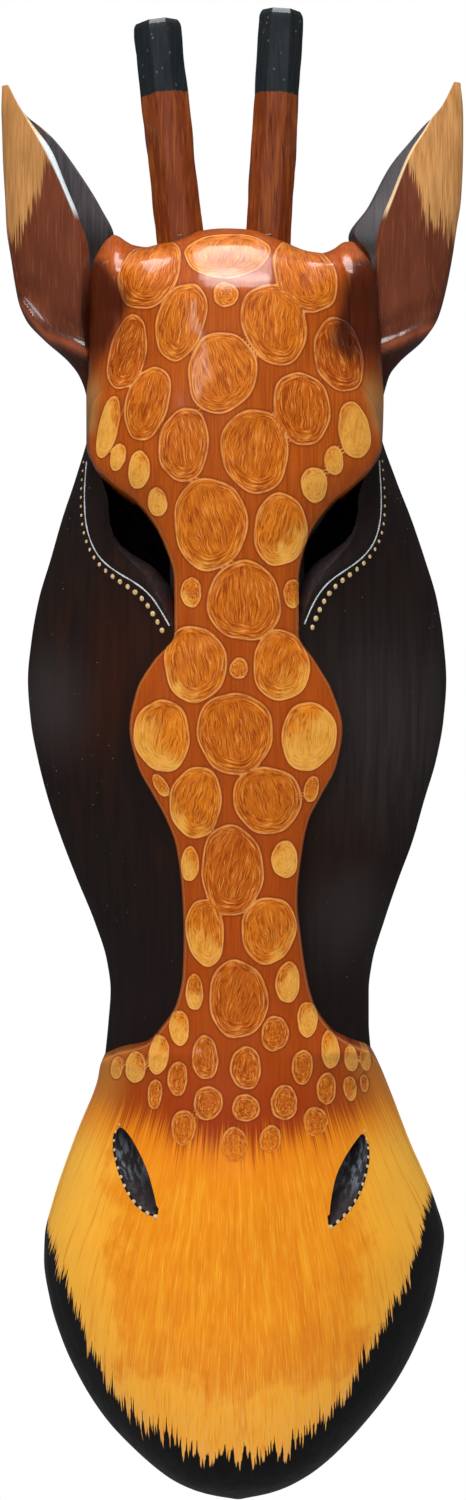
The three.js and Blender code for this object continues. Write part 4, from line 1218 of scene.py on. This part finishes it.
# ---------- horns ----------
def carve_horn(name, spec, seed, node):
    foot, tip = np.array(spec["foot"], float), np.array(spec["tip"], float)
    along = (tip - foot) / np.linalg.norm(tip - foot)
    length = np.linalg.norm(tip - foot)
    across = np.array([along[1], -along[0], 0])
    out = np.array([0, 0, 1.0])
    corners = math.pi / 8 + np.arange(8) * math.pi / 4 + 0.05 * np.sin(np.arange(8) * 2.4 + seed)
    shares = np.concatenate([np.linspace(0, 0.965, 60), [0.978, 0.988, 0.995, 1.0]])
    def corner(share, radius, k):
        """One corner of the eight-sided shaft, with the knife's small misses."""
        knife = 0.35 * math.sin(share * 13 + k * 1.7 + seed) + 0.2 * math.sin(share * 29 + k * 3.1)
        return (radius + knife) * np.array([math.cos(corners[k]), math.sin(corners[k])])

    rings = []
    for share in shares:
        width = spec["width"][0] + (spec["width"][1] - spec["width"][0]) * share
        radius = width / 2 / math.cos(math.pi / 8)
        radius -= 2.2 * max(0, (share - 0.965) / 0.035) ** 2
        ring = []
        for k in range(8):
            here = corner(share, radius, k)
            there = corner(share, radius, (k + 1) % 8)
            for part in (0.04, 0.28, 0.5, 0.72, 0.96):
                flat = here + (there - here) * part
                ring.append(foot + along * length * share + across * flat[0] + out * flat[1])
        rings.append(ring)
    horn = skin(name, capped(np.array(rings), (0.85, 0.55, 0.25, 0)), [horn_finish])
    places = np.stack(from_row(vertex_places(horn)), axis=1)
    break_point = foot + along * (spec["paint"] - foot[1]) / along[1]
    paint_value(horn, "to_tip", (places - break_point) @ along)
    smooth_shading(horn, 12)
    belongs(horn, "mask", "horn_wood", node)
    return horn


# ---------- paint laid on in dabs, and painted highlights along the eye rims ---
def on_surface(tree, x, height):
    """The front of the mask at (x, height): place and outward normal."""
    start = Vector(to_row(np.array([x, height, 250])))
    place, normal = tree.ray_cast(start, Vector((0, 1, 0)))[:2]
    if normal.y > 0:
        normal = -normal
    return place, normal


def even_points(line, step):
    """Points evenly spaced along a smoothed open line."""
    points = np.array(line, float)
    for _ in range(2):
        cut = [points[0]]
        for a, b in zip(points[:-1], points[1:]):
            cut.extend([a * 0.75 + b * 0.25, a * 0.25 + b * 0.75])
        points = np.array([*cut, points[-1]])
    lengths = np.concatenate([[0], np.cumsum(np.linalg.norm(np.diff(points, axis=0), axis=1))])
    count = int(lengths[-1] / step)
    at = np.linspace(0, lengths[-1], count + 1)
    return np.stack([np.interp(at, lengths, points[:, 0]), np.interp(at, lengths, points[:, 1])], axis=1)


def dabs(name, tree, places, finish):
    """Small domes of paint: one ball shaped, then copied to each (x, height, radius)."""
    deselect()
    bpy.ops.mesh.primitive_ico_sphere_add(subdivisions=2, radius=MM)
    ball = bpy.context.object
    edit_all(ball, lambda: bpy.ops.transform.resize(value=(1, 1, 0.5)))
    made = []
    for number, (x, height, radius) in enumerate(places):
        place, normal = on_surface(tree, x, height)
        dab = ball.copy()
        dab.data = ball.data.copy()
        bpy.context.collection.objects.link(dab)
        dab.scale = (radius * (1 + 0.12 * math.sin(number * 2.3)), radius, radius)
        dab.rotation_mode = "QUATERNION"
        dab.rotation_quaternion = normal.to_track_quat("Z", "Y")
        dab.location = place
        made.append(dab)
    bpy.data.objects.remove(ball)
    deselect()
    for dab in made:
        dab.select_set(True)
    bpy.context.view_layer.objects.active = made[0]
    bpy.ops.object.transform_apply(location=True, rotation=True, scale=True)
    bpy.ops.object.join()
    piece = bpy.context.object
    piece.name = name
    piece.data.materials.append(finish)
    bpy.ops.object.shade_smooth()
    belongs(piece, "mask", "face_wood")
    return piece


def bead(name, tree, line, radius, finish):
    """A thin raised line that follows the surface, coloured as a painted highlight along the eye rims."""
    rings = []
    points = even_points(line, 1.6)
    places = []
    for x, height in points:
        place, normal = on_surface(tree, x, height)
        places.append((np.array(place), np.array(normal)))
    for i, (place, normal) in enumerate(places):
        ahead = places[min(i + 1, len(places) - 1)][0] - places[max(i - 1, 0)][0]
        ahead /= np.linalg.norm(ahead)
        side = np.cross(normal, ahead)
        side /= np.linalg.norm(side)
        up = np.cross(ahead, side)
        swell = radius * MM * (1 + 0.15 * math.sin(i * 0.7))
        turns = np.linspace(0, 2 * math.pi, 9)[:-1]
        rings.append([place + swell * (math.cos(t) * side + 0.6 * math.sin(t) * up) for t in turns])
    rings = np.array(rings)
    local = np.stack([rings[..., 0] / MM, (rings[..., 2] - CHIN) / MM, -rings[..., 1] / MM], axis=-1)
    piece = skin(name, capped(local, (0.6, 0)), [finish])
    smooth_shading(piece, 60)
    belongs(piece, "mask", "face_wood")
    return piece


def outward_line(line, amount, middle):
    """A line moved away from a middle point, to run outside a rim."""
    points = np.array(line, float)
    tangent = np.gradient(points, axis=0)
    normal = np.stack([tangent[:, 1], -tangent[:, 0]], axis=1)
    normal /= np.linalg.norm(normal, axis=1, keepdims=True)
    flip = np.sign(np.sum(normal * (points - np.array(middle)), axis=1, keepdims=True))
    return points + normal * flip * amount


def eye_trim(side, rim, middle):
    tree = BVHTree.FromObject(mask, bpy.context.evaluated_depsgraph_get())
    edge = outward_line(rim, 1.2, middle)
    # the bluish-white bead just outside the rim is a painted highlight on the rim's edge
    bead(f"eye_line_{side}", tree, edge[1:-1], 0.5, white)
    gaps = np.interp(np.linspace(0, 1, len(rim)), [0, 0.5, 0.75, 1], [3.4, 4.2, 6.5, 7.0]).reshape(-1, 1)
    dots = even_points(outward_line(rim, gaps, middle)[1:-1], 6.2)
    sizes = np.interp(np.linspace(0, 1, len(dots)), [0, 0.45, 0.7, 1], [0.9, 1.3, 1.9, 1.9])
    dabs(f"eye_dots_{side}", tree, [(x, h, r) for (x, h), r in zip(dots, sizes)], cream)


def nostril_trim(side, outline):
    tree = BVHTree.FromObject(mask, bpy.context.evaluated_depsgraph_get())
    outer = outline[:9]
    middle = np.mean(np.array(outline), axis=0)
    dots = even_points(outward_line(outer, 0.6, middle), 5.6)
    sizes = np.interp(np.linspace(0, 1, len(dots)), [0, 0.5, 1], [1.0, 1.3, 1.6])
    dabs(f"nostril_dots_{side}", tree, [(x, h, r) for (x, h), r in zip(dots, sizes)], cream)


# ---------- assembly ----------
horn_finish = horn_paint()
cream = cream_paint(base=(0.80, 0.58, 0.28))
# bluish-white for the line round each eye: a painted highlight
white = cream_paint("rim_highlight_paint", (0.62, 0.68, 0.72))
mask = carve_mask()
carve_ear("carved_ear_left", LEFT_EAR, -1, LEFT_EAR_LIP, LEFT_PALE_TIP, "left_ear")
carve_ear("carved_ear_right", RIGHT_EAR, 1, RIGHT_EAR_LIP, RIGHT_PALE_TIP, "right_ear")
carve_horn("carved_horn_left", HORNS["left"], 0.4, "left_horn")
carve_horn("carved_horn_right", HORNS["right"], 2.9, "right_horn")
eye_trim("left", LEFT_RIM, (-70, 670))
eye_trim("right", RIGHT_RIM, (68, 670))
nostril_trim("left", LEFT_NOSTRIL)
nostril_trim("right", RIGHT_NOSTRIL)


def coat_node(name, finish):
    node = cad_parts[name]
    node.data.materials.clear()
    node.data.materials.append(finish)


zinc = plated_steel("zinc_plate", (0.62, 0.61, 0.58), 0.5)
wire = plated_steel("nail_wire", (0.42, 0.41, 0.40), 0.9)
dowel = dowel_wood()
for name in ("hanger_strap", "hanger_ring", "hanger_screw_upper", "hanger_screw_lower"):
    coat_node(name, zinc)
for name in ("left_horn_nail", "right_horn_nail"):
    coat_node(name, wire)
for side in ("left", "right"):
    for place in ("front", "rear"):
        coat_node(f"{side}_ear_dowel_{place}", dowel)


# ---------- floor, light and camera ----------
def pale_floor():
    finish = Finish("pale_floor", roughness=0.8)
    finish.colour(finish.mix(finish.noise((300, 300, 300), 2), (0.86, 0.86, 0.86), (0.9, 0.9, 0.9)))
    deselect()
    bpy.ops.mesh.primitive_plane_add(size=3, location=(0, 0, CHIN - 0.47))
    floor = bpy.context.object
    floor.name = "floor"
    floor.data.materials.append(finish.material)
    floor.visible_glossy = False


def soft_light(name, place, aim, size, power):
    data = bpy.data.lights.new(name, "AREA")
    data.shape = "RECTANGLE"
    data.size, data.size_y = size
    data.energy = power
    light = bpy.data.objects.new(name, data)
    bpy.context.scene.collection.objects.link(light)
    light.location = place
    light.rotation_euler = (Vector(aim) - Vector(place)).to_track_quat("-Z", "Y").to_euler()
    return light


def studio():
    world = bpy.data.worlds.new("studio")
    bpy.context.scene.world = world
    world.use_nodes = True
    tree = world.node_tree
    background = tree.nodes["Background"]
    background.inputs["Color"].default_value = (1, 1, 1, 1)
    rays = tree.nodes.new("ShaderNodeLightPath").outputs
    # white behind the piece, soft light all round it, dim in its reflections
    dim = tree.nodes.new("ShaderNodeMix")
    dim.data_type = "FLOAT"
    dim.inputs["A"].default_value = 0.42
    dim.inputs["B"].default_value = 0.07
    tree.links.new(rays["Is Glossy Ray"], dim.inputs["Factor"])
    level = tree.nodes.new("ShaderNodeMix")
    level.data_type = "FLOAT"
    level.inputs["B"].default_value = 1.0
    tree.links.new(rays["Is Camera Ray"], level.inputs["Factor"])
    tree.links.new(dim.outputs["Result"], level.inputs["A"])
    tree.links.new(level.outputs["Result"], background.inputs["Strength"])
    bpy.context.scene.view_settings.view_transform = "Standard"
    soft_light("ceiling", (0, -0.4, 1.35), (0, -0.3, 0), (0.6, 1.5), 24)
    soft_light("left_strip", (-0.62, -1.9, 0.46), (0, 0, -0.03), (0.16, 0.5), 1.3)
    fill = soft_light("fill", (-0.6, -2.4, 0.75), (0, 0, CHIN + 0.45), (1.8, 1.8), 36)
    fill.visible_glossy = False
    glare = soft_light("glare", (0.05, -1.35, 1.5), (0, -0.1, 0.1), (0.5, 0.5), 9)
    glare.visible_diffuse = False
    behind = soft_light("behind", (0.9, 2.2, 0.9), (0, 0, CHIN + 0.45), (1.6, 1.6), 26)
    behind.visible_glossy = False


EYE_DISTANCE = 1800
HALF_VIEW = 517.5  # half the height seen at the wall


def camera():
    data = bpy.data.cameras.new("camera")
    data.sensor_width = 36
    data.angle = 2 * math.atan(HALF_VIEW / EYE_DISTANCE)
    eye = bpy.data.objects.new("camera", data)
    bpy.context.scene.collection.objects.link(eye)
    eye.location = (-0.0028, -EYE_DISTANCE * MM, CHIN + 0.509)
    eye.rotation_euler = (math.pi / 2, 0, 0)
    bpy.context.scene.camera = eye


pale_floor()
studio()
camera()
